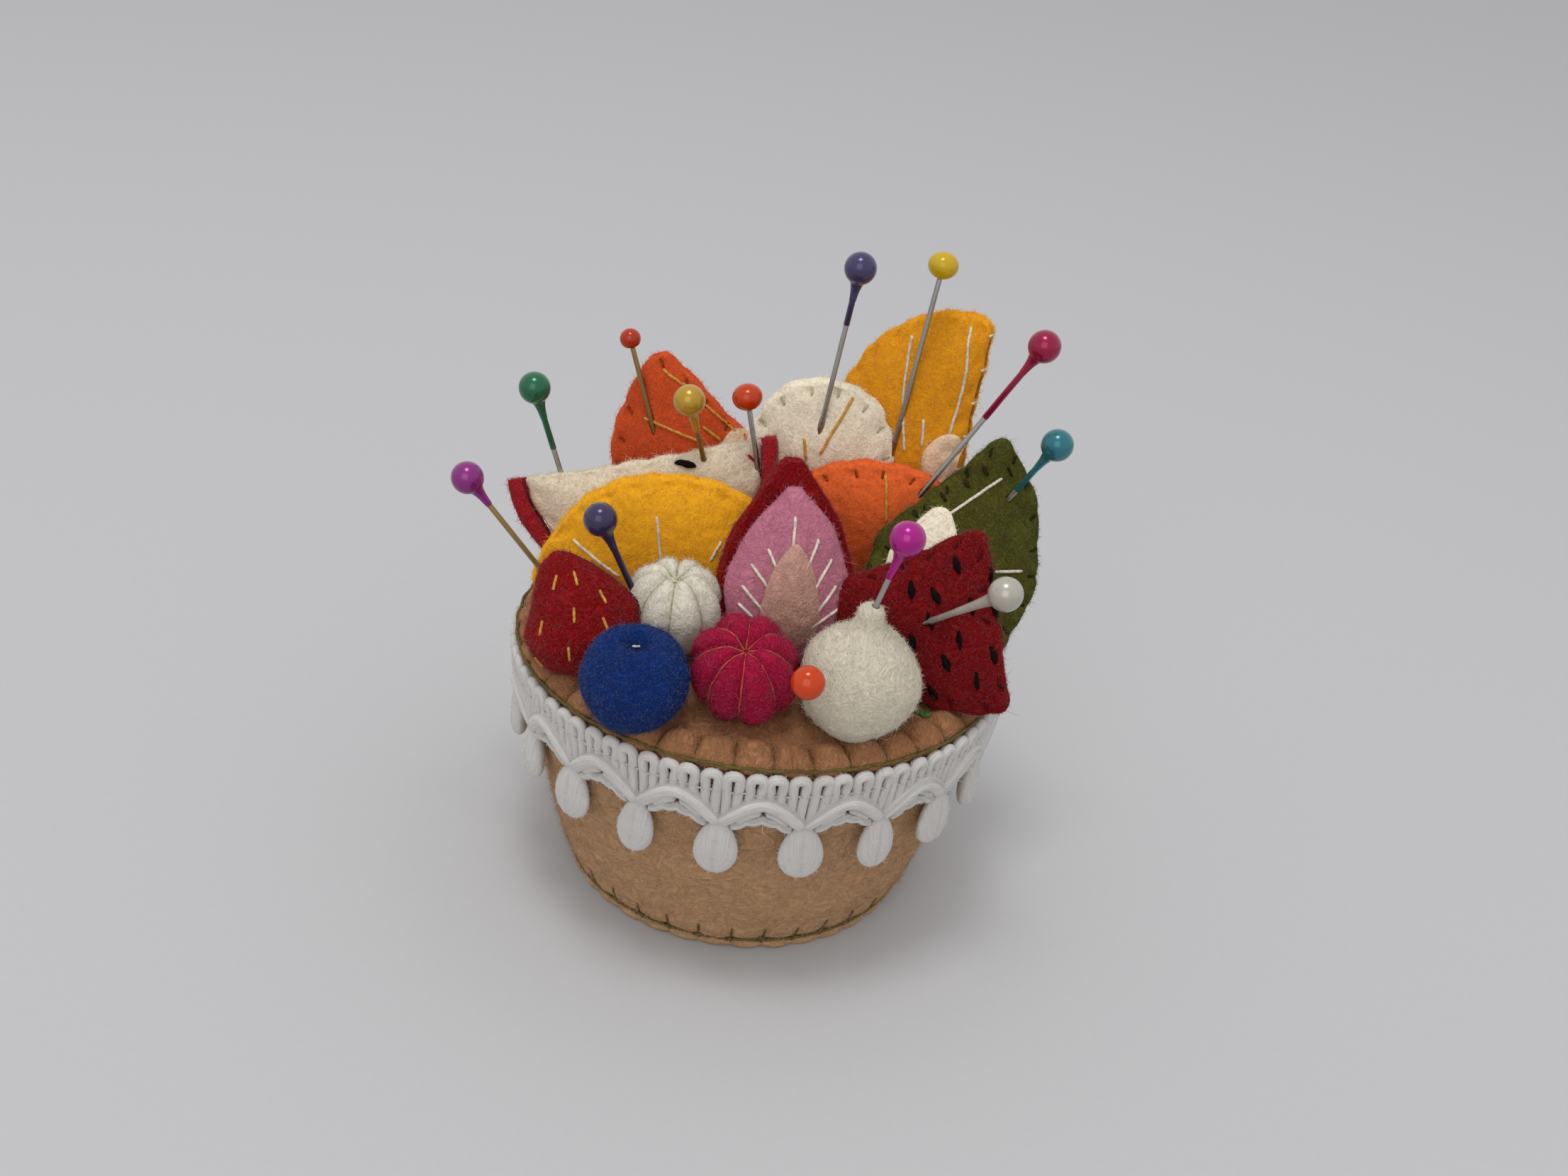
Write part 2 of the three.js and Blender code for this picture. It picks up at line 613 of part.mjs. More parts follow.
function makeSlices() {
  const melonHeight = onArc('watermelon', MELON_RADIUS + SEWN + RIND);
  const melonArgs = [MELON_RADIUS, MELON_FROM, MELON_TO, melonHeight, COLOUR.crimson, MELON_CORNER];
  const melon = addSlice('watermelon', ...melonArgs);
  const inset = THREE.MathUtils.radToDeg(MELON_CORNER / MELON_RADIUS);
  const rind = strip(MELON_RADIUS + SEWN, MELON_FROM + inset, MELON_TO - inset, RIND, RIND_WIDTH);
  addFitted(melon, 'watermelon_rind', rind, COLOUR.rind);

  addSlice('yellow_slice', YELLOW_RADIUS, 0, 180, -SINK, COLOUR.yellow);

  const kiwi = addSlice('kiwi_slice', KIWI_RADIUS, KIWI_FROM, KIWI_TO, KIWI_RAISE, COLOUR.green);
  addCore(kiwi, KIWI_CORE, KIWI_FROM, KIWI_TO);

  addSlice('orange_slice', ORANGE_RADIUS, 0, 180, -SINK, COLOUR.orange);

  const lemonHeight = onArc('lemon_slice', LEMON_RADIUS);
  const lemon = addSlice('lemon_slice', LEMON_RADIUS, 0, 180, lemonHeight, COLOUR.yellow);
  addCore(lemon, LEMON_CORE, 0, 180);

  const wedge = addSlice('orange_wedge', WEDGE_RADIUS, 0, WEDGE_TO, WEDGE_RAISE, COLOUR.wedge);
  addCore(wedge, WEDGE_CORE, 0, WEDGE_TO);

  const appleHeight = onArc('apple_flesh', APPLE_RADIUS + SEWN + PEEL);
  const apple = addSlice('apple_flesh', APPLE_RADIUS, 0, 180, appleHeight, COLOUR.apple);
  addFitted(apple, 'apple_peel', strip(APPLE_RADIUS + SEWN, 0, 180, PEEL, PEEL_WIDTH), COLOUR.red);

  const pale = pillow(archOutline(PALE_RADIUS, PALE_HEIGHT), flat(0, PALE_HEIGHT / 2));
  addFitted(stand('pale_slice', -SINK), 'pale_slice', pale, COLOUR.cream);
}

// Pins

const HEADS = {
  pearl: { radius: PEARL_RADIUS, height: 2 * PEARL_RADIUS, neck: NECK_LENGTH },
  longNeck: { radius: PEARL_RADIUS, height: 2 * PEARL_RADIUS, neck: LONG_NECK_LENGTH },
  bead: { radius: BEAD_RADIUS, height: BEAD_HEIGHT, neck: 0 },
  smallBead: { radius: SMALL_BEAD_RADIUS, height: SMALL_BEAD_HEIGHT, neck: 0 },
};
const BORE_RADIUS = SHAFT_RADIUS + BORE_CLEARANCE;
const CHANNEL_RADIUS = SHAFT_RADIUS + PIN_CLEARANCE;

// A moulded head on a pin that points down: a bead, with a tapered neck or none, and the shaft's blind bore.
function headForm({ radius, height, neck }) {
  const throat = Math.PI - Math.asin(Math.min(1, THROAT_RADIUS / radius));
  const round = Array.from({ length: HEAD_STEPS + 1 }, (_, i) => {
    const angle = (throat * i) / HEAD_STEPS;
    return flat(radius * Math.sin(angle), (height / 2) * Math.cos(angle));
  });
  const taper = neck ? [flat(NECK_RADIUS, -height / 2 - neck)] : [];
  const { y: lowest } = [...round, ...taper].at(-1);
  const bore = [flat(BORE_RADIUS, lowest), flat(BORE_RADIUS, BORE_PAST), flat(0, BORE_PAST)];
  return turned([...round, ...taper, ...bore], HEAD_SIDES);
}

// A steel shaft that ends in the head's bore, just short of the bore's end.
function shaftForm() {
  const end = BORE_PAST - BORE_CLEARANCE;
  const pointRoot = flat(SHAFT_RADIUS, POINT_LENGTH - PIN_LENGTH);
  const pointWaist = flat(SHAFT_RADIUS * 0.5, POINT_LENGTH * 0.3 - PIN_LENGTH);
  const upper = [flat(0, end), flat(SHAFT_RADIUS, end)];
  return turned([...upper, pointRoot, pointWaist, flat(0, -PIN_LENGTH)], SHAFT_SIDES);
}

// The room a pin needs in the felt: round its head and its shaft, as far as they go when it is pushed in.
function roomForm({ radius, height, neck }, push) {
  const wide = radius + PIN_CLEARANCE;
  const crest = height / 2 + PIN_CLEARANCE;
  const foot = -(push + neck + crest);
  const end = -(push + PIN_LENGTH + PIN_CLEARANCE);
  const head = [flat(0, crest), flat(wide, crest), flat(wide, -push)];
  const neckEnd = flat(NECK_RADIUS + PIN_CLEARANCE, foot);
  const shaft = [flat(CHANNEL_RADIUS, foot), flat(CHANNEL_RADIUS, end), flat(0, end)];
  return turned([...head, neckEnd, ...shaft], HEAD_SIDES);
}

// Where a line that comes in from outside first meets a piece.
function firstMeeting(mesh, inside, out) {
  const start = inside.clone().addScaledVector(out, RIM_RADIUS + CUP_HEIGHT);
  const [meeting] = new THREE.Raycaster(start, out.clone().negate()).intersectObject(mesh, false);
  return meeting ? meeting.point : inside;
}

function makePin({ name, host, through, right, front, shows, push, head, colour }) {
  const fruit = cake.getObjectByName(host);
  const out = point(Math.tan(radians(right)), -Math.tan(radians(front)), 1).normalize();
  const inside = fruit.parent.getWorldPosition(point()).add(point(...through));
  const pin = new THREE.Group();
  pin.position.copy(firstMeeting(fruit, inside, out)).addScaledVector(out, shows);
  pin.quaternion.setFromUnitVectors(point(0, 0, 1), out);
  cake.add(pin);
  addMesh(pin, `pin_${name}_head`, headForm(HEADS[head]), colour, POLISHED);
  addMesh(pin, `pin_${name}_shaft`, shaftForm(), COLOUR.steel, STEEL);
  pin.updateMatrixWorld(true);
  return roomForm(HEADS[head], push).applyMatrix4(pin.matrixWorld);
}

// Fitting: fruit is cut to fit the fruit in front of it, and felt is parted where a pin goes through

function fitTogether(rooms) {
  const forms = fitted.map((mesh) => mesh.geometry.clone().applyMatrix4(mesh.matrixWorld));
  const neighbours = forms.map((form) => solidOf(grown(form, GAP)));
  const pinRooms = rooms.map(solidOf);
  const refit = (mesh, form, tools) => {
    const cutBy = (rest, tool) => (rest.intersect(tool).isEmpty() ? rest : rest.subtract(tool));
    const cut = tools.reduce(cutBy, solidOf(form));
    mesh.geometry = geometryOf(largest(cut)).applyMatrix4(mesh.matrixWorld.clone().invert());
  };
  fitted.forEach((mesh, i) => refit(mesh, forms[i], [...neighbours.slice(0, i), ...pinRooms]));
  const stuffing = cake.getObjectByName('cup_stuffing');
  refit(stuffing, stuffing.geometry, pinRooms);
}

makeCup();
makeLace();
makeRoundFruit();
makeStrawberryHalf();
makeSlices();
cake.updateMatrixWorld(true);
fitTogether(PINS.map(makePin));

export default cake;
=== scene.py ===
"""The looks of a felt cake pincushion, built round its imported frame.

+Z is up and the front looks along -Y. Sizes here are in millimetres, and meshes are written in metres.
"""
import json
import math

import bpy
import numpy as np
from mathutils import Matrix, Vector, noise
from mathutils.bvhtree import BVHTree


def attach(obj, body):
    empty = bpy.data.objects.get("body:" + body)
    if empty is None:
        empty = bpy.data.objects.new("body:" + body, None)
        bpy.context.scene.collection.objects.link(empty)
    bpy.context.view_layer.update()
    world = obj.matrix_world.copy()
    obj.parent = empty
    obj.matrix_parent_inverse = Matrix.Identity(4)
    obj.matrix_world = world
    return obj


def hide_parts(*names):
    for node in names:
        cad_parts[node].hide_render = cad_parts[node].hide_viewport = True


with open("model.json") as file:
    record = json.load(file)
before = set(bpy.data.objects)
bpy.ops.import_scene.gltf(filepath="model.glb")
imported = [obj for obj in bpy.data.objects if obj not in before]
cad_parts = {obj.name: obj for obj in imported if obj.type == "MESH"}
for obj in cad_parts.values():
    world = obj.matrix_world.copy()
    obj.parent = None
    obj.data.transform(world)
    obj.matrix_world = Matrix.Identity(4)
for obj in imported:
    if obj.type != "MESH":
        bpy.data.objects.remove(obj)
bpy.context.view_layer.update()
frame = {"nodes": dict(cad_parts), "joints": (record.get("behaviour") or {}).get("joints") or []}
MM = 0.001

# The photograph's view, worked out from the rim and base ellipses
PHOTO_WIDTH, PHOTO_HEIGHT = 2212, 1659
LENS, SENSOR = 40, 36
VIEW_ELEVATION, VIEW_ROLL = 31.92, 7.03
VIEW_DISTANCE = 225.3
VIEW_AIM = np.array([0, 0, 21.38])
AIM_PIXEL = np.array([1058.8, 1002.2])

# Cup
FELT = 1.5
BASE_RADIUS, RIM_RADIUS, CUP_HEIGHT = 22, 30, 33
WALL_BULGE, TOP_CROWN = 0.8, 2.5
SEAM_GAP = 0.3
RIM_STITCHES, BASE_STITCHES = 41, 35
RIM_SEAM = 32.6
RIM_PUFF, RIM_CREASE, RIM_PUFF_INSET, RIM_PUFF_SPREAD = 1.2, 0.6, 1.9, 1.7
RIM_BULGE, RIM_BULGE_INSET = 0.6, 0.8
BASE_PUFF, BASE_PUFF_RISE, PUFF_LEVEL = 0.6, 2.2, 0.6
BOTTOM_PUFF_INSET, BOTTOM_PUFF_LEVEL, BOTTOM_LUMPS, BOTTOM_LUMP_LENGTH = 0.9, 0.4, 0.12, 3
STUFFING_ROOM, STUFFING_LUMPS, STUFFING_LUMP_LENGTH = 0.35, 0.3, 5
FLOOR_ROOM = 0.02

# Lace: a loop's shape, and where scallops and side cords start and how long they are, are parts of a pitch
LACE_DROPS, LACE_START = 19, -4
LOOPS_PER_DROP, DROP_PITCH = 4, 360 / LACE_DROPS
LACE_TOP, LACE_NECK, LACE_ARCH, ARCH_PEAK = 32.2, 24.4, 3.7, 0.18
LOOP_CORD, PICOT_CORD, ARCH_CORD = 0.63, 0.56, 1.12
LOOP_LIFT, PICOT_LIFT, ARCH_LIFT = 0.75, 1.1, 0.95
LOOP_SHAPE = np.array([-0.245, -0.25, -0.3, -0.25, 0, 0.25, 0.3, 0.25, 0.245])
LOOP_BEND, LOOP_SWAY, LOOP_STEP = (1.2, 0.3, 0, 0.3, 1.2), 0.08, 0.35
SCALLOPS, SCALLOP_START, SCALLOP_LENGTH = 4, 0.14, 0.72
SCALLOP_DROP, SCALLOP_SAG, SCALLOP_BUMP = 1.5, 1, 0.35
SIDE_STARTS, SIDE_LENGTH, SIDE_DROP = (0.2, 0.53), 0.27, 1.4
TIE_CORD, TIE_LIFT, TIE_HEIGHT, TIE_WAVE, TIE_WAVES = 0.12, 1.25, 29.4, 0.1, 95
YARN_STEP = 0.3
DROP_WIDTH, DROP_LENGTH, DROP_THICK, DROP_ROUND = 5.2, 7.4, 2.4, 0.55
DROP_RAISE, DROP_LIFT, DROP_SWAY, DROP_VARY, FOLD_DEPTH, FOLD_WIDTH = 0.3, 1, 0.3, 0.1, 0.25, 0.25

# Fruit: spans are in degrees, and a strip's section is in parts of its thickness and width
SINK = 1
BLUEBERRY_RADIUS, RASPBERRY_RADIUS, WHITE_BERRY_RADIUS = 6.2, 6.3, 6.1
BERRY_LOBES, BERRY_GROOVE, BERRY_DIMPLE, BLUEBERRY_DIMPLE, DIMPLE_RADIUS = 8, 1, 1.8, 2.6, 1.5
CREAM_RADIUS, CREAM_TIP, CREAM_NUB, CREAM_SHOULDER = 6.9, 3, 1.5, 66
STRAWBERRY_RADIUS, STRAWBERRY_LENGTH, STRAWBERRY_BLUNT = 6.9, 16, 0.62
HALF_WIDTH, HALF_HEIGHT, HALF_BELLY, HALF_DEPTH, HALF_EDGE, HALF_MIDDLE = 16.8, 25, 9, 7.5, 1, 0.4
CUT_INSET, CUT_LIP = 0.3, 0.25
FACE_WIDTH, FACE_HEIGHT, FACE_RAISE, FACE_THICK = 15, 21.5, 0.6, 4
HEART_WIDTH, HEART_HEIGHT, HEART_BELLY, HEART_RAISE, HEART_THICK = 7, 12.5, 3.8, 3.1, 0.7
SLICE_THICK, SLICE_EDGE, SLICE_CROWN, CORNER = 5.6, 2.6, 2.4, 2
SHOULDER_SHARE, SEAM_INSET, SEAM_PULL, DENT_WIDTH = 0.36, 0.32, 0.6, 0.7
SEWN, APPLIQUE, DRAPE_GAP, DRAPE_LOOK = 0.4, 1, 0.04, 30
STRIP_SECTION = np.array([(0, -0.5), (0.7, -0.5), (1, -0.4), (1, 0.4), (0.7, 0.5), (0, 0.5)])
YELLOW_RADIUS, ORANGE_RADIUS, LEMON_RADIUS, LEMON_CORE = 18, 19, 19.4, 4.4
WEDGE_RADIUS, WEDGE_SPAN, WEDGE_RAISE, WEDGE_CORE = 23, (0, 128), 11.6, 9.2
KIWI_RADIUS, KIWI_SPAN, KIWI_RAISE, KIWI_CORE, KIWI_CORE_INSET = 21.5, (-115, 33), 12, 8, 1.8
MELON_RADIUS, MELON_SPAN, MELON_CORNER = 22.3, (-145, -68), 2.6
RIND, RIND_WIDTH, RIND_INSET = 1, 4.6, 5
APPLE_RADIUS, APPLE_CORNER, PEEL, PEEL_WIDTH, PEEL_GAP = 15.2, 0.8, 1.4, 5.6, 0.2
PALE_RADIUS, PALE_HEIGHT = 9.8, 26.4
HALF_DISC = 0, 180

# Where each fruit stands: x and y as parts of the rim's radius, then turn, lean and spin in degrees
PLACE = {
    "blueberry": (-0.446, -0.8, 0, -10, 0),
    "raspberry": (-0.043, -0.693, 0, -31, 0),
    "white_berry": (-0.353, -0.307, 0, -8, 0),
    "cream_dollop": (0.397, -0.68, 0, 0, 0),
    "strawberry": (-0.7, -0.467, 90, 22, 0),
    "strawberry_half": (0.1, -0.335, 10, 18, 0),
    "yellow_slice": (-0.383, 0.017, 0, 8, 0),
    "apple_flesh": (-0.584, 0.4, 0, 20, 196),
    "orange_wedge": (0.02, 0.725, 0, 5, 140),
    "pale_slice": (0.16, 0.593, 0, 5, 0),
    "orange_slice": (0.427, 0.334, 0, 8, 0),
    "lemon_slice": (0.764, 0.566, -30, 5, 88),
    "kiwi_slice": (0.44, 0.15, 20, 38, 0),
    "watermelon": (0.81, -0.25, -16, 20, 0),
}

# Pins
PIN_LENGTH, SHAFT_RADIUS, POINT_LENGTH = 38, 0.33, 4
POINT_BLUNT, SHAFT_END_ROOM = 1.6, 0.15
WAIST_RADIUS, WAIST_DROP, THROAT_RADIUS, FOOT_WALL, BORE_PAST = 0.5525, 0.5, 0.95, 0.1, 0.6
BORE_ROOM = 0.015
BORE = SHAFT_RADIUS + BORE_ROOM
PIN_HOLE, HEAD_ROOM, HOLE_MOUTH = 0.42, 0.08, 0.4
PAINT = 0.05

# Stitches that draw a slice's edge in
TUCK_PITCH, TUCK_WIDTH, TUCK_DEPTH, TUCK_INSET = 4.2, 0.8, 0.4, 1.4

# Grain of the meshes
POINT_STEP, STRIP_STEP = 0.55, 0.5
CURVE_POINTS, CORNER_POINTS, ARC_POINTS, ARCH_POINTS = 24, 8, 90, 60
CUP_SIDES, STUFFING_SIDES, FRUIT_SIDES, HEAD_SIDES, SHAFT_SIDES, HOLE_SIDES = 492, 120, 96, 40, 18, 20
BERRY_COLUMNS, BERRY_ROWS, DROP_COLUMNS, DROP_ROWS, HEAD_RINGS = 112, 60, 72, 40, 22
FELT_SHARP, PIN_SHARP = 50, 60
FIRST_RING, PILLOW_RINGS = 0.08, 20
FACE_SHARES = np.linspace(FIRST_RING, 1, 14)

# Swells and pits of the felt
SWELL_HEIGHT, SWELL_LENGTH, PIT_HEIGHT, PIT_LENGTH = 0.45, 6, 0.12, 1.1

# Threads: their radii, how they lie and end, and the length and radius of each sewn seed
RAY_THREAD, CHANNEL_THREAD, EDGE_THREAD = 0.19, 0.12, 0.17
CUT_THREAD, SEAM_THREAD, TUCK_THREAD = 0.16, 0.2, 0.15
THREAD_UP, THREAD_RISE, THREAD_LIFT = (0.31, 0.2, 0.93), 0.45, 0.05
BLUNT_END, SHARP_END, END_CAP = 0.55, 0.15, 0.3
STRAWBERRY_SEED, MELON_SEED, KIWI_SEED, APPLE_SEED = (1.6, 0.17), (2.1, 0.42), (1.3, 0.34), (2.8, 0.6)
STAR_STITCH = 0.9, 0.14
RIM_STITCH_INSETS, BASE_STITCH_RISES, CLEAR = (0.2, 0.8, 1.6, 2.4, 3.2), (FELT + 0.6, 3.1, 4.1), 40
CUT_PITCH, CUT_STITCH, CUT_RISE = 4.4, (0, 1.6, 3.2), 0.1
CUT_TIE_AT, CUT_TIE, CUT_TIE_RISE = 3.8, (-0.6, 0.1, 0.8), 0.3


# Arrays and frames

def unit(vectors):
    return vectors / np.maximum(np.linalg.norm(vectors, axis=-1, keepdims=True), 1e-12)


def polar(radius, degrees):
    turn = np.radians(degrees)
    return np.stack([radius * np.cos(turn), radius * np.sin(turn)], -1)


def full_turn(count):
    """Even angles round a circle, in radians."""
    return np.arange(count) / count * 2 * np.pi


def around(radius, turn, height):
    """Points at a distance from the Z axis, a turn in radians and a height."""
    return np.stack(np.broadcast_arrays(radius * np.cos(turn), radius * np.sin(turn), height), -1)


def crown_at(radius):
    return TOP_CROWN * np.maximum(0, 1 - (radius / RIM_RADIUS) ** 2)


def wall_radius(height):
    share = np.asarray(height) / CUP_HEIGHT
    return BASE_RADIUS + (RIM_RADIUS - BASE_RADIUS) * share + WALL_BULGE * np.sin(np.pi * share)


def placed(name, height):
    """The matrix of a fruit's own frame: +X right, +Y up and +Z to its front, after its spin."""
    x, y, turn, lean, spin = PLACE[name]
    rise = CUP_HEIGHT + crown_at(RIM_RADIUS * math.hypot(x, y)) + height
    spot = Vector((RIM_RADIUS * x, RIM_RADIUS * y, rise))
    facing = Matrix.Rotation(math.radians(turn), 4, "Z") @ Matrix.Rotation(math.radians(90 - lean), 4, "X")
    return Matrix.Translation(spot) @ facing @ Matrix.Rotation(math.radians(spin), 4, "Z")


def moved(points, matrix):
    m = np.array(matrix)
    return np.asarray(points) @ m[:3, :3].T + m[:3, 3]


def tilted(name, height):
    """The frame of a round fruit, whose own axis is +Z."""
    return placed(name, height) @ Matrix.Rotation(math.radians(-90), 4, "X")


def on_arc(name, radius):
    return radius * math.cos(math.radians(PLACE[name][3])) - SINK


# The camera's axes, also for stitches that are placed by a pixel of the photograph

def view_axes():
    rise, roll = math.radians(VIEW_ELEVATION), math.radians(VIEW_ROLL)
    back = np.array([0, -math.cos(rise), math.sin(rise)])
    right = np.array([1.0, 0, 0])
    up = np.array([0, math.sin(rise), math.cos(rise)])
    rolled_right = math.cos(roll) * right + math.sin(roll) * up
    rolled_up = -math.sin(roll) * right + math.cos(roll) * up
    return rolled_right, rolled_up, back


VIEW_RIGHT, VIEW_UP, VIEW_BACK = view_axes()
PIXELS_PER_UNIT = LENS / SENSOR * PHOTO_WIDTH
EYE = VIEW_AIM + VIEW_DISTANCE * VIEW_BACK


def pixel_ray(pixel):
    across, down = (np.array(pixel) - AIM_PIXEL) / PIXELS_PER_UNIT
    return unit(VIEW_RIGHT * across - VIEW_UP * down - VIEW_BACK)


# Surfaces

def closed_surface(first, rings, last):
    """Points and faces of rings between two poles.

    Seen from the first pole, each ring runs anticlockwise.
    """
    rows, columns = rings.shape[:2]
    points = np.concatenate([[first], rings.reshape(-1, 3), [last]])
    grid = 1 + np.arange(rows * columns).reshape(rows, columns)
    after = np.roll(grid, -1, axis=1)
    quads = np.stack([grid[:-1], grid[1:], after[1:], after[:-1]], -1).reshape(-1, 4)
    end = len(points) - 1
    faces = [(0, a, b) for a, b in zip(grid[0], after[0])]
    faces += [tuple(quad) for quad in quads]
    faces += [(end, b, a) for a, b in zip(grid[-1], after[-1])]
    return points, faces


def ring_surface(sections):
    """Points and faces of closed sections that follow each other round a ring."""
    count, corners = sections.shape[:2]
    grid = np.arange(count * corners).reshape(count, corners)
    ahead = np.roll(grid, -1, axis=0)
    faces = np.stack([grid, ahead, np.roll(ahead, -1, axis=1), np.roll(grid, -1, axis=1)], -1)
    return sections.reshape(-1, 3), [tuple(face) for face in faces.reshape(-1, 4)]


def turned(profile, sides):
    """A solid of revolution about Z from (radius, height) points, from the top down."""
    profile = np.asarray(profile, float)
    rings = around(profile[1:-1, :1], full_turn(sides), profile[1:-1, 1:])
    return closed_surface((0, 0, profile[0, 1]), rings, (0, 0, profile[-1, 1]))


def normals_of(points, faces):
    corners = np.array([(f[0], f[i], f[i + 1]) for f in faces for i in range(1, len(f) - 1)])
    a, b, c = np.moveaxis(points[corners], 1, 0)
    across = np.cross(b - a, c - a)
    total = np.zeros_like(points)
    for corner in corners.T:
        np.add.at(total, corner, across)
    return unit(total)


def lumps(points, faces, height, length, seed):
    """Moves points along their normals by smooth noise of the given height and length."""
    offset = Vector((seed * 17.3, seed * 5.1, seed * 11.7))
    heights = np.array([noise.noise(Vector(p) / length + offset) for p in points])
    return points + normals_of(points, faces) * (height * heights)[:, None]


def felted(points, faces, seed):
    """The slow swells and small pits of hand-cut, stuffed felt."""
    points = lumps(points, faces, SWELL_HEIGHT, SWELL_LENGTH, seed)
    return lumps(points, faces, PIT_HEIGHT, PIT_LENGTH, seed + 1)


# Outlines, anticlockwise

def bezier(controls, count=CURVE_POINTS):
    t = np.linspace(0, 1, count, endpoint=False)[:, None]
    controls = [np.asarray(c, float) + 0 * t for c in controls]
    while len(controls) > 1:
        controls = [a * (1 - t) + b * t for a, b in zip(controls, controls[1:])]
    return controls[0]


def run_of(line):
    """The distance along a line to each of its points."""
    return np.concatenate([[0], np.cumsum(np.linalg.norm(np.diff(line, axis=0), axis=1))])


def resampled(line, spots):
    run = run_of(line)
    return np.stack([np.interp(spots * run[-1], run, line[:, k]) for k in range(line.shape[1])], -1)


def evenly(points, step=POINT_STEP):
    """A closed line divided into even steps."""
    loop = np.vstack([points, points[:1]])
    count = int(round(run_of(loop)[-1] / step))
    return resampled(loop, np.arange(count) / count)


def sector_outline(radius, start, stop, corner=CORNER):
    cut, inner = math.degrees(corner / radius), radius - corner
    bends = [
        bezier([polar(corner, stop), (0, 0), polar(corner, start)], CORNER_POINTS),
        bezier([polar(inner, start), polar(radius, start), polar(radius, start + cut)], CORNER_POINTS),
        bezier([polar(radius, stop - cut), polar(radius, stop), polar(inner, stop)], CORNER_POINTS),
    ]
    sides = [bezier([polar(corner, start), polar(inner, start)]),
             bezier([polar(inner, stop), polar(corner, stop)])]
    arc = polar(radius, np.linspace(start + cut, stop - cut, ARC_POINTS))
    return evenly(np.vstack([bends[0], sides[0], bends[1], arc, bends[2], sides[1]]))


def arch_outline(radius, height):
    top = polar(radius, np.linspace(0, 180, ARCH_POINTS)) + (0, height - radius)
    foot, left = (radius, 0), (-radius, 0)
    return evenly(np.vstack([bezier([left, foot]), bezier([foot, top[0]]), top, bezier([top[-1], left])]))


def berry_outline(width, height, belly):
    half, tip, shoulder = width / 2, width / 2 * 0.1, belly + (height - belly) * 0.45
    right = np.vstack([
        bezier([(0, 0), (half * 0.6, 0), (half, belly * 0.4), (half, belly)]),
        bezier([(half, belly), (half, shoulder), (half * 0.35, height * 0.9), (tip, height)]),
    ])
    left = right[:0:-1] * (-1, 1)
    return evenly(np.vstack([right, [(tip, height)], [(-tip, height)], left]))


def stitch_places(outline):
    """Even places round a closed outline, as shares of its length."""
    count = round(len(outline) * POINT_STEP / TUCK_PITCH)
    return np.arange(count) / count


def near_stitch(outline):
    """1 for the points of an outline at a stitch, falling to 0 between two."""
    shares = np.arange(len(outline)) / len(outline)
    away = np.abs(shares[:, None] - stitch_places(outline)[None])
    away = np.minimum(away, 1 - away).min(1) * len(outline) * POINT_STEP
    return np.exp(-(away / TUCK_WIDTH) ** 2)


# Soft forms, in a fruit's own frame

def ring_of(outline, middle, share, inset, height):
    """An outline shrunk by a share of the way to its middle, and by an inset in millimetres."""
    away = outline - middle
    reach = np.linalg.norm(away, axis=1)
    scale = share * (1 - np.minimum(inset / reach, 1))
    return np.column_stack([middle + away * scale[:, None], np.broadcast_to(height, len(outline))])


def pillow(outline, middle):
    """Two crowned faces with round shoulders, sewn along a drawn-in seam."""
    shoulder = SLICE_EDGE * SHOULDER_SHARE
    drawn = TUCK_DEPTH * near_stitch(outline)
    pulled = SEAM_PULL * drawn
    reach = np.linalg.norm(outline - middle, axis=1)
    rings = []
    for share in np.linspace(FIRST_RING, 1, PILLOW_RINGS):
        crown = (SLICE_THICK + (SLICE_EDGE - SLICE_THICK) * share ** SLICE_CROWN) / 2
        inside = reach * (1 - share) + shoulder
        dent = drawn * np.exp(-((inside - TUCK_INSET) / DENT_WIDTH) ** 2)
        rings.append(ring_of(outline, middle, share, (shoulder + pulled) * share ** 3, crown - dent))
    for turn in np.radians([30, 60, 90]):
        inset = shoulder * (1 - math.sin(turn)) + pulled
        rings.append(ring_of(outline, middle, 1, inset, SLICE_EDGE / 2 - shoulder * (1 - math.cos(turn))))
    back = [ring * (1, 1, -1) for ring in rings[::-1]]
    seam = [ring_of(outline, middle, 1, SEAM_INSET + pulled, 0)]
    top, bottom = [(*middle, side * SLICE_THICK / 2) for side in (1, -1)]
    return closed_surface(top, np.array(rings + seam + back), bottom)


def half_fruit(outline, middle):
    """A cut face at z = 0, a little proud at its edge, with a stuffed dome behind it."""
    face = [ring_of(outline, middle, s, CUT_INSET * s, CUT_LIP * s ** 6) for s in FACE_SHARES]
    edge = [ring_of(outline, middle, 1, 0, -HALF_EDGE * 0.4)]
    deep = HALF_DEPTH - HALF_EDGE
    dome = [ring_of(outline, middle, math.cos(turn), 0, -HALF_EDGE - deep * math.sin(turn))
            for turn in np.radians(np.linspace(0, 80, 14))]
    return closed_surface((*middle, 0), np.array(face + edge + dome), (*middle, -HALF_DEPTH))


def padded_patch(outline, middle, thick, floor):
    """A puffy patch with a flat back at z = floor."""
    rings = [ring_of(outline, middle, s, 0.5 * s, floor + thick * (1 - 0.55 * s ** 2.2))
             for s in FACE_SHARES]
    for share, inset, rise in ((1, 0.1, thick * 0.25), (1, 0.15, 0.05), (0.6, 0, 0)):
        rings.append(ring_of(outline, middle, share, inset, floor + rise))
    return closed_surface((*middle, floor + thick), np.array(rings), (*middle, floor))


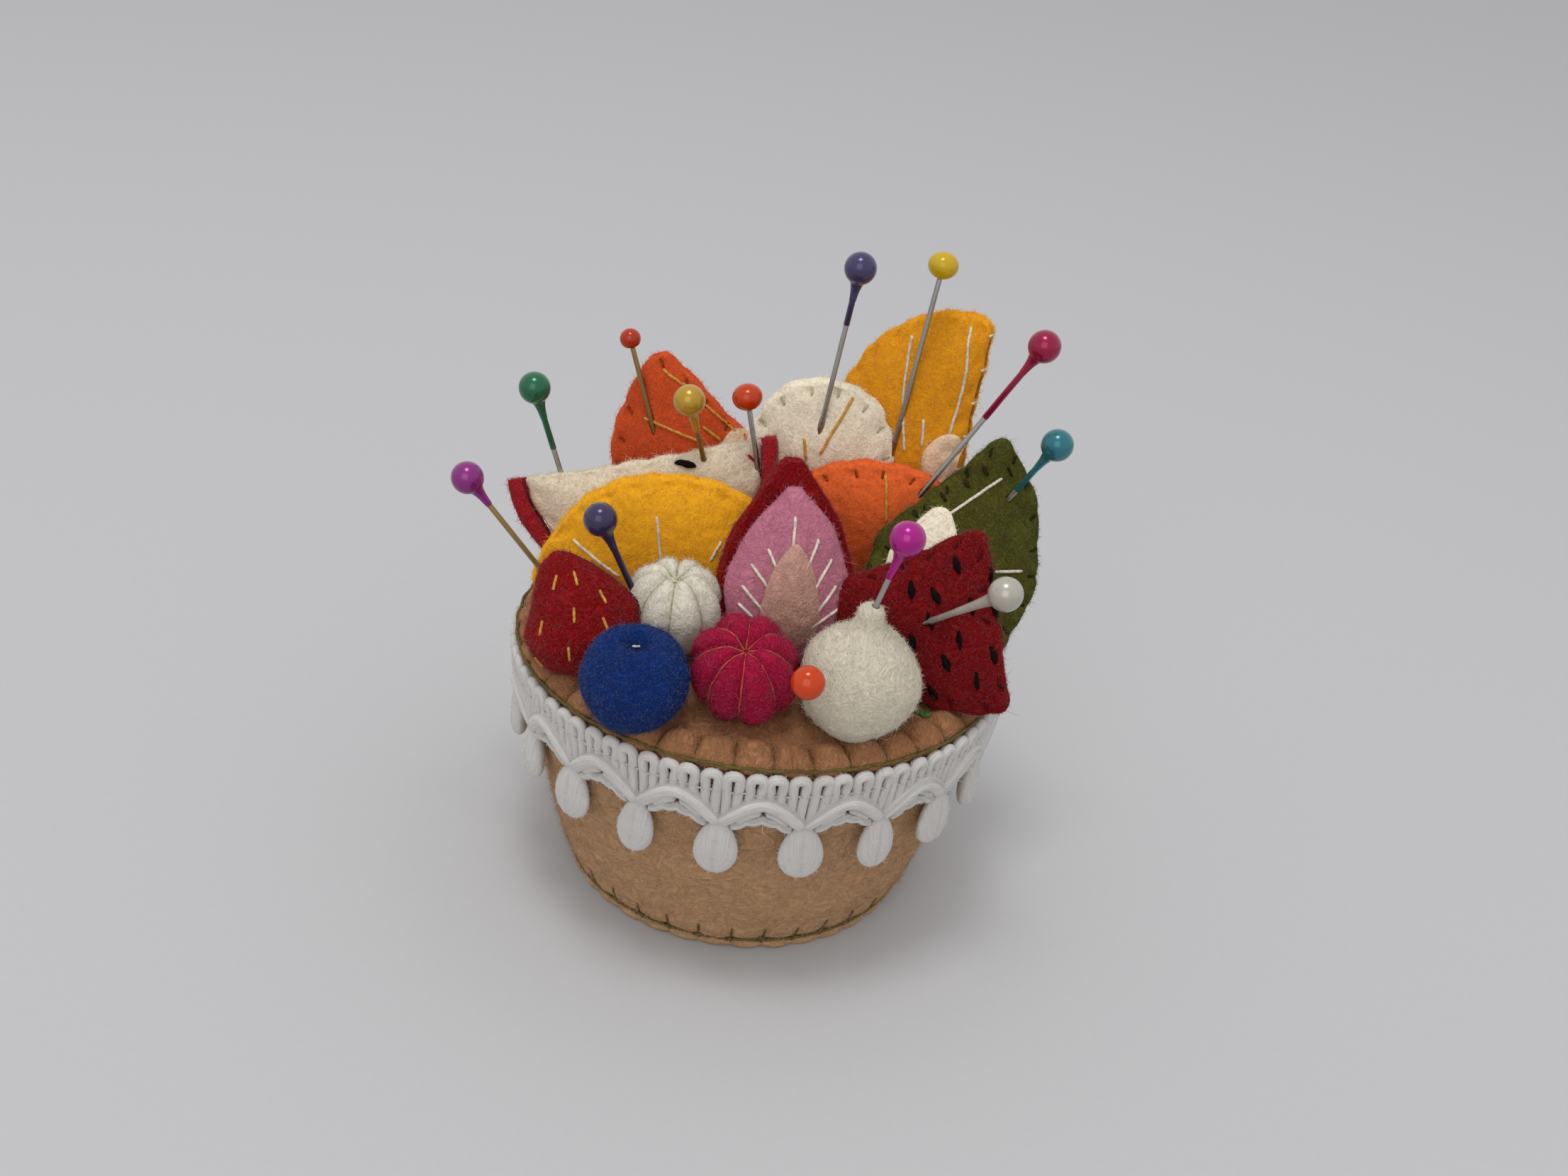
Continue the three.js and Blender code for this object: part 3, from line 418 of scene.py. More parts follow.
def draped(outline, middle, thick, matrix, host):
    """A thin patch laid on a host's front face, found by looking back along the patch's own Z."""
    back = -np.array(matrix)[:3, 2]

    def resting(ring, lift):
        start = moved(ring + (0, 0, DRAPE_LOOK), matrix)
        met = [host.ray_cast(p, back)[0] for p in start]
        spots = np.array([m if m is not None else p + DRAPE_LOOK * back for m, p in zip(met, start)])
        return spots - back * lift

    rings = [resting(ring_of(outline, middle, s, 0.3 * s, 0), thick * (1 - 0.5 * s ** 4))
             for s in np.linspace(0.1, 1, 8)]
    for share, lift in ((1, thick * 0.3), (1, DRAPE_GAP), (0.5, DRAPE_GAP)):
        rings.append(resting(ring_of(outline, middle, share, 0, 0), lift))
    top, bottom = [resting(np.array([[*middle, 0]]), lift)[0] for lift in (thick, DRAPE_GAP)]
    return closed_surface(top, np.array(rings), bottom)


def berry(radius, lobes, dimple=BERRY_DIMPLE):
    """A ball with a dimple at its top, drawn into lobes by channels."""
    down = (np.arange(BERRY_ROWS) + 1)[:, None] / (BERRY_ROWS + 1) * np.pi
    turn = full_turn(BERRY_COLUMNS)
    channel = (1 - np.abs(np.sin(lobes * turn / 2))) ** 1.5 * np.sin(down) ** 0.6
    reach = radius - (BERRY_GROOVE if lobes else 0) * channel
    ring = around(reach * np.sin(down), turn, reach * np.cos(down))
    away = np.hypot(ring[..., 0], ring[..., 1]) / DIMPLE_RADIUS
    upper = slice(BERRY_ROWS // 2)
    ring[upper, :, 2] -= (dimple * np.exp(-away ** 2))[upper]
    return closed_surface((0, 0, radius - dimple), ring, (0, 0, -radius))


def cream_form():
    crest = CREAM_RADIUS + CREAM_TIP
    nub = [(CREAM_NUB * part, crest - drop) for part, drop in ((0, 0), (0.5, 0.12), (0.85, 0.5), (1, 1.1))]
    flare = bezier([nub[-1], (CREAM_NUB * 1.05, crest - 2.4), polar(CREAM_RADIUS, CREAM_SHOULDER)], 8)[1:]
    body = polar(CREAM_RADIUS, np.linspace(CREAM_SHOULDER, -86, 44))
    return turned(np.vstack([nub, flare, body, [(0, -CREAM_RADIUS)]]), FRUIT_SIDES)


def strawberry_form():
    tip = STRAWBERRY_LENGTH - STRAWBERRY_RADIUS
    share = np.linspace(0.15, 1, 30) ** 2
    cone = np.column_stack([STRAWBERRY_RADIUS * share ** STRAWBERRY_BLUNT, tip * (1 - share)])
    bowl = polar(STRAWBERRY_RADIUS, np.linspace(-4, -86, 24))
    return turned(np.vstack([[(0, tip)], cone, bowl, [(0, -STRAWBERRY_RADIUS)]]), FRUIT_SIDES)


def strip(radius, span, thick, width):
    """A strip of felt round an arc, on its outer side, with eased edges."""
    section = evenly(STRIP_SECTION * (thick, width), STRIP_STEP)
    count = int(radius * math.radians(span[1] - span[0]) / POINT_STEP)
    turn = np.radians(np.linspace(*span, count))[:, None]
    rings = around(radius + section[:, 0], turn, section[:, 1])
    return closed_surface(rings[0].mean(0), rings, rings[-1].mean(0))


# Threads: plied tubes, flat across their own up direction when they are pressed onto felt

def thread(path, radius, plies=2, twist=0.9, ply=0.16, sides=8, flat=1.0, up=THREAD_UP, pointed=False):
    path = np.asarray(path, float)
    radius = np.broadcast_to(radius, len(path)).astype(float)
    along = unit(np.gradient(path, axis=0))
    side = np.cross(along[0], up)
    sides_of = []
    for tangent in along:
        side = unit(side - tangent * np.dot(side, tangent))
        sides_of.append(side)
    side = np.array(sides_of)
    other = np.cross(along, side)
    run = run_of(path)
    angle = full_turn(sides)
    swell = 1 + ply * np.cos(plies * (angle[None] - twist * run[:, None] / radius[:, None]))
    taper = np.ones(len(path))
    taper[[0, -1]] = BLUNT_END
    if pointed:
        taper = np.maximum(SHARP_END, np.abs(np.sin(np.pi * run / run[-1])) ** 0.7)
    reach = (radius * taper)[:, None, None] * swell[..., None]
    rings = (path[:, None] + reach * np.cos(angle)[None, :, None] * side[:, None]
             + flat * reach * np.sin(angle)[None, :, None] * other[:, None])
    first, last = path[0] - along[0] * radius[0] * END_CAP, path[-1] + along[-1] * radius[-1] * END_CAP
    return closed_surface(first, rings[:, ::-1], last)


def smooth_path(points, step=0.3):
    """A rounded line through a few points, divided into even steps."""
    points = np.asarray(points, float)
    padded = np.vstack([2 * points[0] - points[1], points, 2 * points[-1] - points[-2]])
    t = np.linspace(0, 1, 16, endpoint=False)[:, None]
    line = []
    for a, b, c, d in zip(padded, padded[1:], padded[2:], padded[3:]):
        bend, curl = 2 * a - 5 * b + 4 * c - d, 3 * b - a - 3 * c + d
        line.append(0.5 * (2 * b + (c - a) * t + bend * t ** 2 + curl * t ** 3))
    line = np.vstack(line + [points[-1:]])
    return resampled(line, np.linspace(0, 1, max(4, int(run_of(line)[-1] / step) + 1)))


def joined(shapes):
    """Several shapes as one set of points and faces."""
    points, faces, start = [], [], 0
    for some_points, some_faces in shapes:
        points.append(some_points)
        faces += [tuple(start + i for i in face) for face in some_faces]
        start += len(some_points)
    return np.vstack(points), faces


# Materials: noise in waves to a metre, bands of its values that are laid out over a range, bumps in metres

DRIFT_WAVES, DRIFT, CLOUD_WAVES, CLOUD_BAND = 260, 0.004, 170, (0.36, 0.68)
GRAIN_WAVES, GRAIN_BAND, STREAK_BAND, STREAK_STRETCH = 2600, (0.35, 0.7), (0.48, 0.68), 0.14
FUZZ_WAVES, SPUN_WAVES, SPUN_BAND, PAPER_WAVES = 700, 1800, (0.38, 0.66), 900
YARN_STRETCH, YARN_BAND, STAIN_WAVES, STAIN_BAND = (26, 0.5, 1), (0.36, 0.62), 420, (0.4, 0.7)
BLOOM_WAVES, BLOOM_BAND, SCUFF_WAVES, SCUFF_BAND = 420, (0.35, 0.75), 2600, (0.3, 0.8)
WIRE_WAVES, DULL_WAVES, DULL_BAND = 180, 2400, (0.3, 0.75)
FELT_BUMP, THREAD_BUMP, LACE_BUMP = 0.00016, 0.0001, 0.00025
LACE_COLOURS = "#d2cfcb", "#aaa69f", "#bfbbb5"
LAYS = {  # how streaks of fibre are turned, and their shade and share
    (0.4, 0.2, 0.9): ("deep", 0.5), (1.3, 0.7, 2.2): ("pale", 0.5),
    (0.2, 1.9, 0.5): ("deep", 0.4), (2.1, 0.4, 1.4): ("pale", 0.45),
}


def material(name):
    """Calls that add a node and finish a new material, and the place on its object."""
    made = bpy.data.materials.new(name)
    made.use_nodes = True
    tree = made.node_tree
    shader = tree.nodes["Principled BSDF"]

    def add(kind, inputs=None, **settings):
        node = tree.nodes.new("ShaderNode" + kind)
        for key, value in settings.items():
            setattr(node, key, value)
        for key, value in (inputs or {}).items():
            if isinstance(value, bpy.types.NodeSocket):
                tree.links.new(value, node.inputs[key])
            else:
                node.inputs[key].default_value = value
        return node

    def finish(links=None, **constants):
        for key, socket in (links or {}).items():
            tree.links.new(socket, shader.inputs[key])
        for key, value in constants.items():
            shader.inputs[key.replace("_", " ")].default_value = value
        return made

    return add, finish, add("TexCoord").outputs["Object"]


def linear(hex_colour, gain=1.0, white=0.0):
    """A written colour as linear light, made deeper by a gain below 1 or paler by some white."""
    parts = [int(hex_colour[i:i + 2], 16) / 255 for i in (1, 3, 5)]
    straight = [c / 12.92 if c <= 0.04045 else ((c + 0.055) / 1.055) ** 2.4 for c in parts]
    return (*[min(1, c * gain * (1 - white) + white) for c in straight], 1)


def mixed(add, factor, a, b):
    return add("Mix", {"Factor": factor, "A": a, "B": b}, data_type="RGBA").outputs["Result"]


def speckle(add, place, scale, detail=3):
    spread = {"Vector": place, "Scale": scale, "Detail": detail, "Roughness": 0.6}
    return add("TexNoise", spread).outputs["Fac"]


def bumped(add, height, strength, depth):
    return add("Bump", {"Height": height, "Strength": strength, "Distance": depth}).outputs["Normal"]


def between(add, value, band, spread):
    """A band of values, laid out over a range."""
    ends = dict(zip(("From Min", "From Max", "To Min", "To Max"), (*band, *spread)))
    return add("MapRange", {"Value": value} | ends).outputs["Result"]


def streaks(add, place, turn, fineness):
    """Fibres laid one way, as stretched noise."""
    stretch = (fineness, STREAK_STRETCH * fineness, fineness)
    laid = add("Mapping", {"Vector": place, "Rotation": turn, "Scale": stretch}).outputs[0]
    return between(add, speckle(add, laid, 1, 2), STREAK_BAND, (0, 1))


def felt_material(name, colour, fineness):
    """Wool felt: clouded colour, crossed streaks of fibre over a fine grain, and a velvet sheen."""
    add, finish, place = material(name)
    strength = max(0.5, 1.6 - 1.4 * max(linear(colour)[:3]))
    tones = {"deep": linear(colour, 0.65), "pale": linear(colour, 1.35, 0.01)}
    drift = add("TexNoise", {"Vector": place, "Scale": DRIFT_WAVES, "Detail": 1}).outputs["Color"]
    pull = add("VectorMath", {0: drift, 1: (0.5, 0.5, 0.5)}, operation="SUBTRACT").outputs[0]
    shift = add("VectorMath", {0: pull, "Scale": DRIFT}, operation="SCALE").outputs[0]
    warped = add("VectorMath", {0: place, 1: shift}, operation="ADD").outputs[0]
    cloud = between(add, speckle(add, place, CLOUD_WAVES, 4), CLOUD_BAND, (0, 0.3 * strength))
    tone = mixed(add, cloud, linear(colour), tones["deep"])
    height = speckle(add, warped, GRAIN_WAVES)
    tone = mixed(add, between(add, height, GRAIN_BAND, (0, 0.25)), tone, tones["deep"])
    for turn, (shade, amount) in LAYS.items():
        lines = streaks(add, warped, turn, fineness)
        tone = mixed(add, between(add, lines, (0, 1), (0, amount * strength)), tone, tones[shade])
        height = add("Math", {0: lines, 1: 0.5, 2: height}, operation="MULTIPLY_ADD").outputs[0]
    looks = {"Base Color": tone, "Normal": bumped(add, height, 0.8 * strength, FELT_BUMP)}
    return finish(looks, Roughness=0.95, Specular_IOR_Level=0.1, Sheen_Weight=0.15, Sheen_Roughness=0.5,
                  Sheen_Tint=tones["pale"])


def fuzz_material(name, colour):
    """Single wool fibres, some paler than others."""
    add, finish, place = material(name)
    tone = mixed(add, speckle(add, place, FUZZ_WAVES), linear(colour, 0.85), linear(colour, 1.4, 0.01))
    return finish({"Base Color": tone}, Roughness=0.9, Specular_IOR_Level=0.1, Sheen_Weight=0.3)


def thread_material(name, colour):
    """Spun thread: streaks and a soft shine."""
    add, finish, place = material(name)
    streak = speckle(add, place, SPUN_WAVES)
    tone = mixed(add, between(add, streak, SPUN_BAND, (0, 0.85)), linear(colour), linear(colour, 0.55))
    looks = {"Base Color": tone, "Normal": bumped(add, streak, 0.6, THREAD_BUMP)}
    return finish(looks, Roughness=0.7, Specular_IOR_Level=0.1)


def lace_material():
    """White cotton, with fine parallel yarns that run along each cord."""
    add, finish, place = material("lace_cotton")
    run = add("UVMap", uv_map="yarn").outputs["UV"]
    stretched = add("Mapping", {"Vector": run, "Scale": YARN_STRETCH}).outputs[0]
    yarns = speckle(add, stretched, 1)
    clean, deep, stain = [linear(colour) for colour in LACE_COLOURS]
    tone = mixed(add, between(add, yarns, YARN_BAND, (0.5, 0)), clean, deep)
    tone = mixed(add, between(add, speckle(add, place, STAIN_WAVES), STAIN_BAND, (0, 0.3)), tone, stain)
    looks = {"Base Color": tone, "Normal": bumped(add, yarns, 0.6, LACE_BUMP)}
    return finish(looks, Roughness=0.85, Specular_IOR_Level=0.2, Sheen_Weight=0.2)


def head_material(name, colour, pearl):
    """A moulded pearl under a shimmering coat, made paler towards its rim by a painted sheen, or a bead of
    coloured glass.
    """
    add, finish, place = material(name)
    bloom = between(add, speckle(add, place, BLOOM_WAVES, 2), BLOOM_BAND, (0, 0.5))
    tone = mixed(add, bloom, linear(colour), linear(colour, 0.75))
    if pearl:
        # A pearl is painted paler where its surface turns away from the view: a painted sheen.
        edge = add("LayerWeight", {"Blend": 0.3}).outputs["Facing"]
        tone = mixed(add, between(add, edge, (0, 1), (0, 0.15)), tone, linear(colour, 1, 0.2))
    gloss, metal = ((0.2, 0.34), 0.3) if pearl else ((0.06, 0.16), 0)
    rough = between(add, speckle(add, place, SCUFF_WAVES, 2), SCUFF_BAND, gloss)
    return finish({"Base Color": tone, "Roughness": rough}, Metallic=metal, Specular_IOR_Level=0.1,
                  Coat_Weight=0.6, Coat_Roughness=0.03)


def wire_material(name, colour):
    """Drawn wire with faint marks and dull spots."""
    add, finish, place = material(name)
    tone = mixed(add, speckle(add, place, WIRE_WAVES, 2), linear(colour), linear(colour, 0.6))
    rough = between(add, speckle(add, place, DULL_WAVES, 2), DULL_BAND, (0.22, 0.45))
    return finish({"Base Color": tone, "Roughness": rough}, Metallic=1)


# The top disc's felt and its fibres are the wall's tan felt made darker: painted shade that the fruit cast
# on the top.
FELT_COLOURS = {
    "tan": "#b28c68", "top": "#9e6e4b", "blue": "#0d2d6b", "magenta": "#9f0e39", "cream": "#cfc6b2",
    "white": "#dbd5c4", "red": "#86070c", "pink": "#be7588", "heart": "#c29686", "yellow": "#f2aa1f",
    "lemon": "#e79b1a", "orange": "#e5672e", "wedge": "#d25326", "apple": "#decfb6", "pale": "#f5e7cc",
    "core": "#eccbaa", "green": "#4d4c10", "crimson": "#7a070d", "rind": "#4a7036", "peel": "#a01c24",
    "fibre": "#efece4",
}
# The threads of the slices' edge stitches, the kiwi's dark green among them, are darker than their felt:
# partly their own colour, partly painted shade of the dents the stitches pull in.
THREAD_COLOURS = {
    "olive": "#6a5c30", "white": "#e6dccb", "gold": "#d59c45", "black": "#060404", "orange": "#cf6548",
    "mint": "#a9ac86", "red": "#a31f22", "amber": "#a8620f", "green": "#23260c", "rust": "#94400f",
    "wine": "#4a0a10", "stone": "#c6bd9f",
}
WIRE_COLOURS = {"steel": "#b9b7b2", "gilt": "#a68a58", "dark": "#4a4450"}
FINENESS, COARSE = 3000, {"tan": 1500}
FELTS = {name: felt_material(name + "_felt", colour, COARSE.get(name, FINENESS))
         for name, colour in FELT_COLOURS.items()}
FUZZ = {name: fuzz_material(name + "_fuzz", colour) for name, colour in FELT_COLOURS.items()}
THREADS = {name: thread_material(name + "_thread", colour) for name, colour in THREAD_COLOURS.items()}
WIRES = {name: wire_material(name + "_wire", colour) for name, colour in WIRE_COLOURS.items()}
LACE = lace_material()


# Pieces

def shape(name, points, faces, finish):
    mesh = bpy.data.meshes.new(name)
    mesh.from_pydata((np.asarray(points) * MM).tolist(), [], faces)
    mesh.materials.append(finish)
    mesh.shade_smooth()
    made = bpy.data.objects.new(name, mesh)
    bpy.context.scene.collection.objects.link(made)
    return made


def on_cake(piece):
    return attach(piece, "cake")


def map_points(piece, layer_name, spots):
    """Gives a piece a map with one spot for each of its points."""
    layer = piece.data.uv_layers.new(name=layer_name)
    corners = np.empty(len(piece.data.loops), np.int32)
    piece.data.loops.foreach_get("vertex_index", corners)
    layer.data.foreach_set("uv", spots[corners].astype(np.float32).ravel())


def points_of(mesh):
    """A mesh's points in millimetres."""
    return np.array([v.co for v in mesh.vertices]) / MM


def search_of(points, faces):
    return BVHTree.FromPolygons(points.tolist(), faces)


FORMS = {}  # each felt piece's points and faces, in the frame, before it is cut to fit
FRAMES = {}  # each fruit's own frame
OUTLINES = {}  # each slice's outline and middle, in its own frame


def form(name, points_and_faces, matrix, seed):
    points, faces = points_and_faces
    FORMS[name] = felted(moved(points, matrix), faces, seed), faces
    FRAMES[name] = matrix


# Cup

def stitch_angles(count):
    return (np.arange(count) + 0.5) / count * 360


def puffs(points, count):
    """1 midway between two stitches round an edge, 0 at each stitch."""
    turn = np.degrees(np.arctan2(points[:, 1], points[:, 0]))
    return np.abs(np.cos(np.pi * turn / 360 * count)) ** 0.5


def round_edge(radius, height):
    """A profile round a disc's edge, from its top to its underside."""
    edge = FELT / 2
    turns = np.radians(np.linspace(80, -80, 9))
    return [(radius - edge + edge * math.cos(t), height + edge * math.sin(t)) for t in turns]


def make_wall():
    foot, head = FELT + SEAM_GAP, CUP_HEIGHT - FELT - SEAM_GAP
    heights = np.linspace(foot, head, 40)
    eased = 0.5 * np.exp(-(heights - foot) / 0.5) + 0.5 * np.exp(-(head - heights) / 0.5)
    outside = np.column_stack([wall_radius(heights) - eased, heights])
    inside = np.column_stack([wall_radius(heights) - FELT, heights])[::-6]
    section = np.vstack([outside, inside])
    turn = np.radians(np.arange(CUP_SIDES) / CUP_SIDES * 360)[:, None]
    points, faces = ring_surface(around(section[:, 0], turn, section[:, 1]))
    points = felted(points, faces, 3)
    near = np.exp(-((points[:, 2] - foot) / BASE_PUFF_RISE) ** 2)
    swell = BASE_PUFF * (puffs(points, BASE_STITCHES) - PUFF_LEVEL) * near
    points[:, :2] += unit(points[:, :2]) * swell[:, None]
    FORMS["side_wall"] = points, faces


def make_top():
    radii = np.linspace(0.6, RIM_RADIUS - FELT / 2, 64)
    upper = [(0, crown_at(0))] + [(r, crown_at(r)) for r in radii]
    lower = [(r, crown_at(r) - FELT) for r in radii[::-4]] + [(0, crown_at(0) - FELT)]
    points, faces = turned(upper + round_edge(RIM_RADIUS, -FELT / 2) + lower, CUP_SIDES)
    points[:, 2] += CUP_HEIGHT
    points = felted(points, faces, 5)
    inset = RIM_RADIUS - np.hypot(points[:, 0], points[:, 1])
    puff = puffs(points, RIM_STITCHES)
    top_side = np.clip((points[:, 2] - CUP_HEIGHT + FELT * 0.6) / 0.5, 0, 1)
    swell = np.exp(-((inset - RIM_PUFF_INSET) / RIM_PUFF_SPREAD) ** 2) * top_side
    points[:, 2] += ((RIM_PUFF + RIM_CREASE) * puff - RIM_CREASE) * swell
    bulge = RIM_BULGE * (puff - PUFF_LEVEL) * np.exp(-(inset / RIM_BULGE_INSET) ** 2)
    points[:, :2] += unit(points[:, :2]) * bulge[:, None]
    FORMS["top_disc"] = points, faces


def make_bottom():
    radii = np.linspace(0.8, BASE_RADIUS - FELT / 2, 24)
    upper = [(0, FELT)] + [(r, FELT) for r in radii]
    lower = [(r, 0) for r in radii[::-1]] + [(0, 0)]
    points, faces = turned(upper + round_edge(BASE_RADIUS, FELT / 2) + lower, CUP_SIDES)
    swollen = lumps(points, faces, BOTTOM_LUMPS, BOTTOM_LUMP_LENGTH, 8)
    edge = np.exp(-((BASE_RADIUS - np.hypot(points[:, 0], points[:, 1])) / BOTTOM_PUFF_INSET) ** 2)
    swell = BASE_PUFF * (puffs(points, BASE_STITCHES) - BOTTOM_PUFF_LEVEL) * edge
    swollen[:, :2] += unit(swollen[:, :2]) * swell[:, None]
    swollen[:, 2] = np.where(points[:, 2] < FLOOR_ROOM, 0, np.maximum(swollen[:, 2], 0))
    FORMS["bottom_disc"] = swollen, faces


def make_stuffing():
    foot, head = FELT + SEAM_GAP, CUP_HEIGHT - FELT - SEAM_GAP
    side = [(wall_radius(h) - FELT - SEAM_GAP, h) for h in np.linspace(head, foot, 24)]
    dome = [(r, head + crown_at(r)) for r in np.linspace(1, side[0][0] - 1, 16)]
    points, faces = turned([(0, head + crown_at(0))] + dome + side + [(0, foot)], STUFFING_SIDES)
    lumpy = lumps(points, faces, STUFFING_LUMPS, STUFFING_LUMP_LENGTH, 9)
    FORMS["cup_stuffing"] = lumpy - normals_of(points, faces) * STUFFING_ROOM, faces


# Fruit forms

def make_round_fruit():
    forms = {
        "cream_dollop": (CREAM_RADIUS, cream_form()),
        "strawberry": (STRAWBERRY_RADIUS, strawberry_form()),
        "raspberry": (RASPBERRY_RADIUS, berry(RASPBERRY_RADIUS, BERRY_LOBES)),
        "white_berry": (WHITE_BERRY_RADIUS, berry(WHITE_BERRY_RADIUS, BERRY_LOBES)),
        "blueberry": (BLUEBERRY_RADIUS, berry(BLUEBERRY_RADIUS, 0, BLUEBERRY_DIMPLE)),
    }
    for seed, (name, (radius, surface)) in enumerate(forms.items(), 6):
        form(name, surface, tilted(name, radius - SINK), 2 * seed)


def make_half():
    half = placed("strawberry_half", -SINK)
    outline = berry_outline(HALF_WIDTH, HALF_HEIGHT, HALF_BELLY)
    form("strawberry_half_body", half_fruit(outline, (0, HALF_HEIGHT * HALF_MIDDLE)), half, 21)
    outline = berry_outline(FACE_WIDTH, FACE_HEIGHT, HALF_BELLY) + (0, FACE_RAISE)
    patch = padded_patch(outline, (0, FACE_HEIGHT * HALF_MIDDLE), FACE_THICK, SEWN)
    form("strawberry_half_face", patch, half, 23)
    outline = berry_outline(HEART_WIDTH, HEART_HEIGHT, HEART_BELLY) + (0, HEART_RAISE)
    face = search_of(*FORMS["strawberry_half_face"])
    heart = draped(outline, (0, HEART_RAISE + HEART_HEIGHT * HALF_MIDDLE), HEART_THICK, half, face)
    form("strawberry_half_heart", heart, Matrix.Identity(4), 25)


def make_slices():
    slices = {
        "watermelon": (MELON_RADIUS, MELON_SPAN, on_arc("watermelon", MELON_RADIUS + SEWN + RIND)),
        "yellow_slice": (YELLOW_RADIUS, HALF_DISC, -SINK),
        "orange_slice": (ORANGE_RADIUS, HALF_DISC, -SINK),
        "kiwi_slice": (KIWI_RADIUS, KIWI_SPAN, KIWI_RAISE),
        "lemon_slice": (LEMON_RADIUS, HALF_DISC, on_arc("lemon_slice", LEMON_RADIUS)),
        "orange_wedge": (WEDGE_RADIUS, WEDGE_SPAN, WEDGE_RAISE),
        "apple_flesh": (APPLE_RADIUS, HALF_DISC, on_arc("apple_flesh", APPLE_RADIUS + SEWN + PEEL)),
    }
    corners = {"watermelon": MELON_CORNER, "apple_flesh": APPLE_CORNER}
    for name, (radius, span, height) in slices.items():
        outline = sector_outline(radius, *span, corners.get(name, CORNER))
        OUTLINES[name] = outline, polar(radius / 2, sum(span) / 2)
        FRAMES[name] = placed(name, height)
    OUTLINES["pale_slice"] = arch_outline(PALE_RADIUS, PALE_HEIGHT), np.array([0, PALE_HEIGHT / 2])
    FRAMES["pale_slice"] = placed("pale_slice", -SINK)
    for seed, (name, outline_and_middle) in enumerate(OUTLINES.items(), 30):
        form(name, pillow(*outline_and_middle), FRAMES[name], 2 * seed)


def make_trims():
    """The watermelon's rind, the apple's peel and the cores that are sewn on."""
    inset = math.degrees(RIND_INSET / MELON_RADIUS)
    rind_span = MELON_SPAN[0] + inset, MELON_SPAN[1] - inset
    rind = strip(MELON_RADIUS + SEWN, rind_span, RIND, RIND_WIDTH)
    form("watermelon_rind", rind, FRAMES["watermelon"], 83)
    peel = strip(APPLE_RADIUS + PEEL_GAP, HALF_DISC, SEWN - PEEL_GAP + PEEL, PEEL_WIDTH)
    form("apple_peel", peel, FRAMES["apple_flesh"], 85)
    cores = {
        "kiwi_slice": (KIWI_CORE, KIWI_SPAN, KIWI_CORE_INSET),
        "lemon_slice": (LEMON_CORE, HALF_DISC, 0),
        "orange_wedge": (WEDGE_CORE, WEDGE_SPAN, 0),
    }
    for seed, (host, (radius, span, inset)) in enumerate(cores.items(), 90):
        shift = polar(inset, span[1] - 90)
        outline = sector_outline(radius, *span) + shift
        middle = polar(radius / 2, sum(span) / 2) + shift
        patch = draped(outline, middle, APPLIQUE, FRAMES[host], search_of(*FORMS[host]))
        form(host + "_core", patch, Matrix.Identity(4), seed)


# Pins: the head's radius, height and neck, its colour, how far its paint runs down the shaft, and the wire

PEARL, LONG_NECK = (2, 4, 2), (2, 4, 5.5)
BEAD, SMALL_BEAD = (1.9, 3.3, 0), (1.35, 2.6, 0)
PINS = {
    "pin_purple_back": (PEARL, "#40385f", 3, "steel"), "pin_yellow": (BEAD, "#c2a004", 0, "steel"),
    "pin_crimson": (PEARL, "#93063a", 7, "steel"), "pin_teal": (PEARL, "#28717c", 4, "steel"),
    "pin_white": (LONG_NECK, "#b1ada1", 4, "steel"), "pin_magenta_right": (PEARL, "#a80a80", 1, "steel"),
    "pin_orange_back": (BEAD, "#b83402", 0, "steel"), "pin_gold": (PEARL, "#b9902c", 0, "gilt"),
    "pin_small_red": (SMALL_BEAD, "#a82a06", 0, "gilt"), "pin_green": (PEARL, "#1f6443", 4, "steel"),
    "pin_magenta_left": (PEARL, "#872678", 0, "gilt"), "pin_purple_front": (PEARL, "#372e50", 10, "dark"),
    "pin_orange_front": (BEAD, "#c43c02", 0, "steel"),
}


def head_profile(radius, height, neck):
    """(radius, height) points from the top of a head down to its foot."""
    throat = math.pi - math.asin(min(1, THROAT_RADIUS / radius))
    turn = np.linspace(0, throat, HEAD_RINGS)
    ball = np.column_stack([radius * np.sin(turn), height / 2 * np.cos(turn)])
    if not neck:
        return ball
    waist = WAIST_RADIUS, ball[-1][1] - WAIST_DROP
    foot = BORE + FOOT_WALL, -height / 2 - neck
    return np.vstack([ball, bezier([ball[-1], waist, foot], 12)[1:], [foot]])


def head_form(radius, height, neck, paint):
    """A bored head, with paint that runs some way down the shaft."""
    outline = head_profile(radius, height, neck)
    low = outline[-1][1]
    coat = [(BORE + PAINT, low - 0.2)] if neck else []
    low -= paint
    end = [(BORE + PAINT, low - 0.25), (BORE, low - 0.3), (BORE, BORE_PAST), (0, BORE_PAST)]
    return turned(np.vstack([outline, *coat, *end]), HEAD_SIDES)


def shaft_form():
    end = BORE_PAST - SHAFT_END_ROOM
    top = [(0, end), (SHAFT_RADIUS * 0.9, end), (SHAFT_RADIUS, end - 0.1)]
    point = [(SHAFT_RADIUS * (1 - t ** POINT_BLUNT), POINT_LENGTH * (1 - t) - PIN_LENGTH)
             for t in np.linspace(0, 0.97, 10)]
    return turned([*top, *point, (0, -PIN_LENGTH)], SHAFT_SIDES)


# Fitting: each piece on the top is cut to fit those in front of it, and felt is parted round the pins

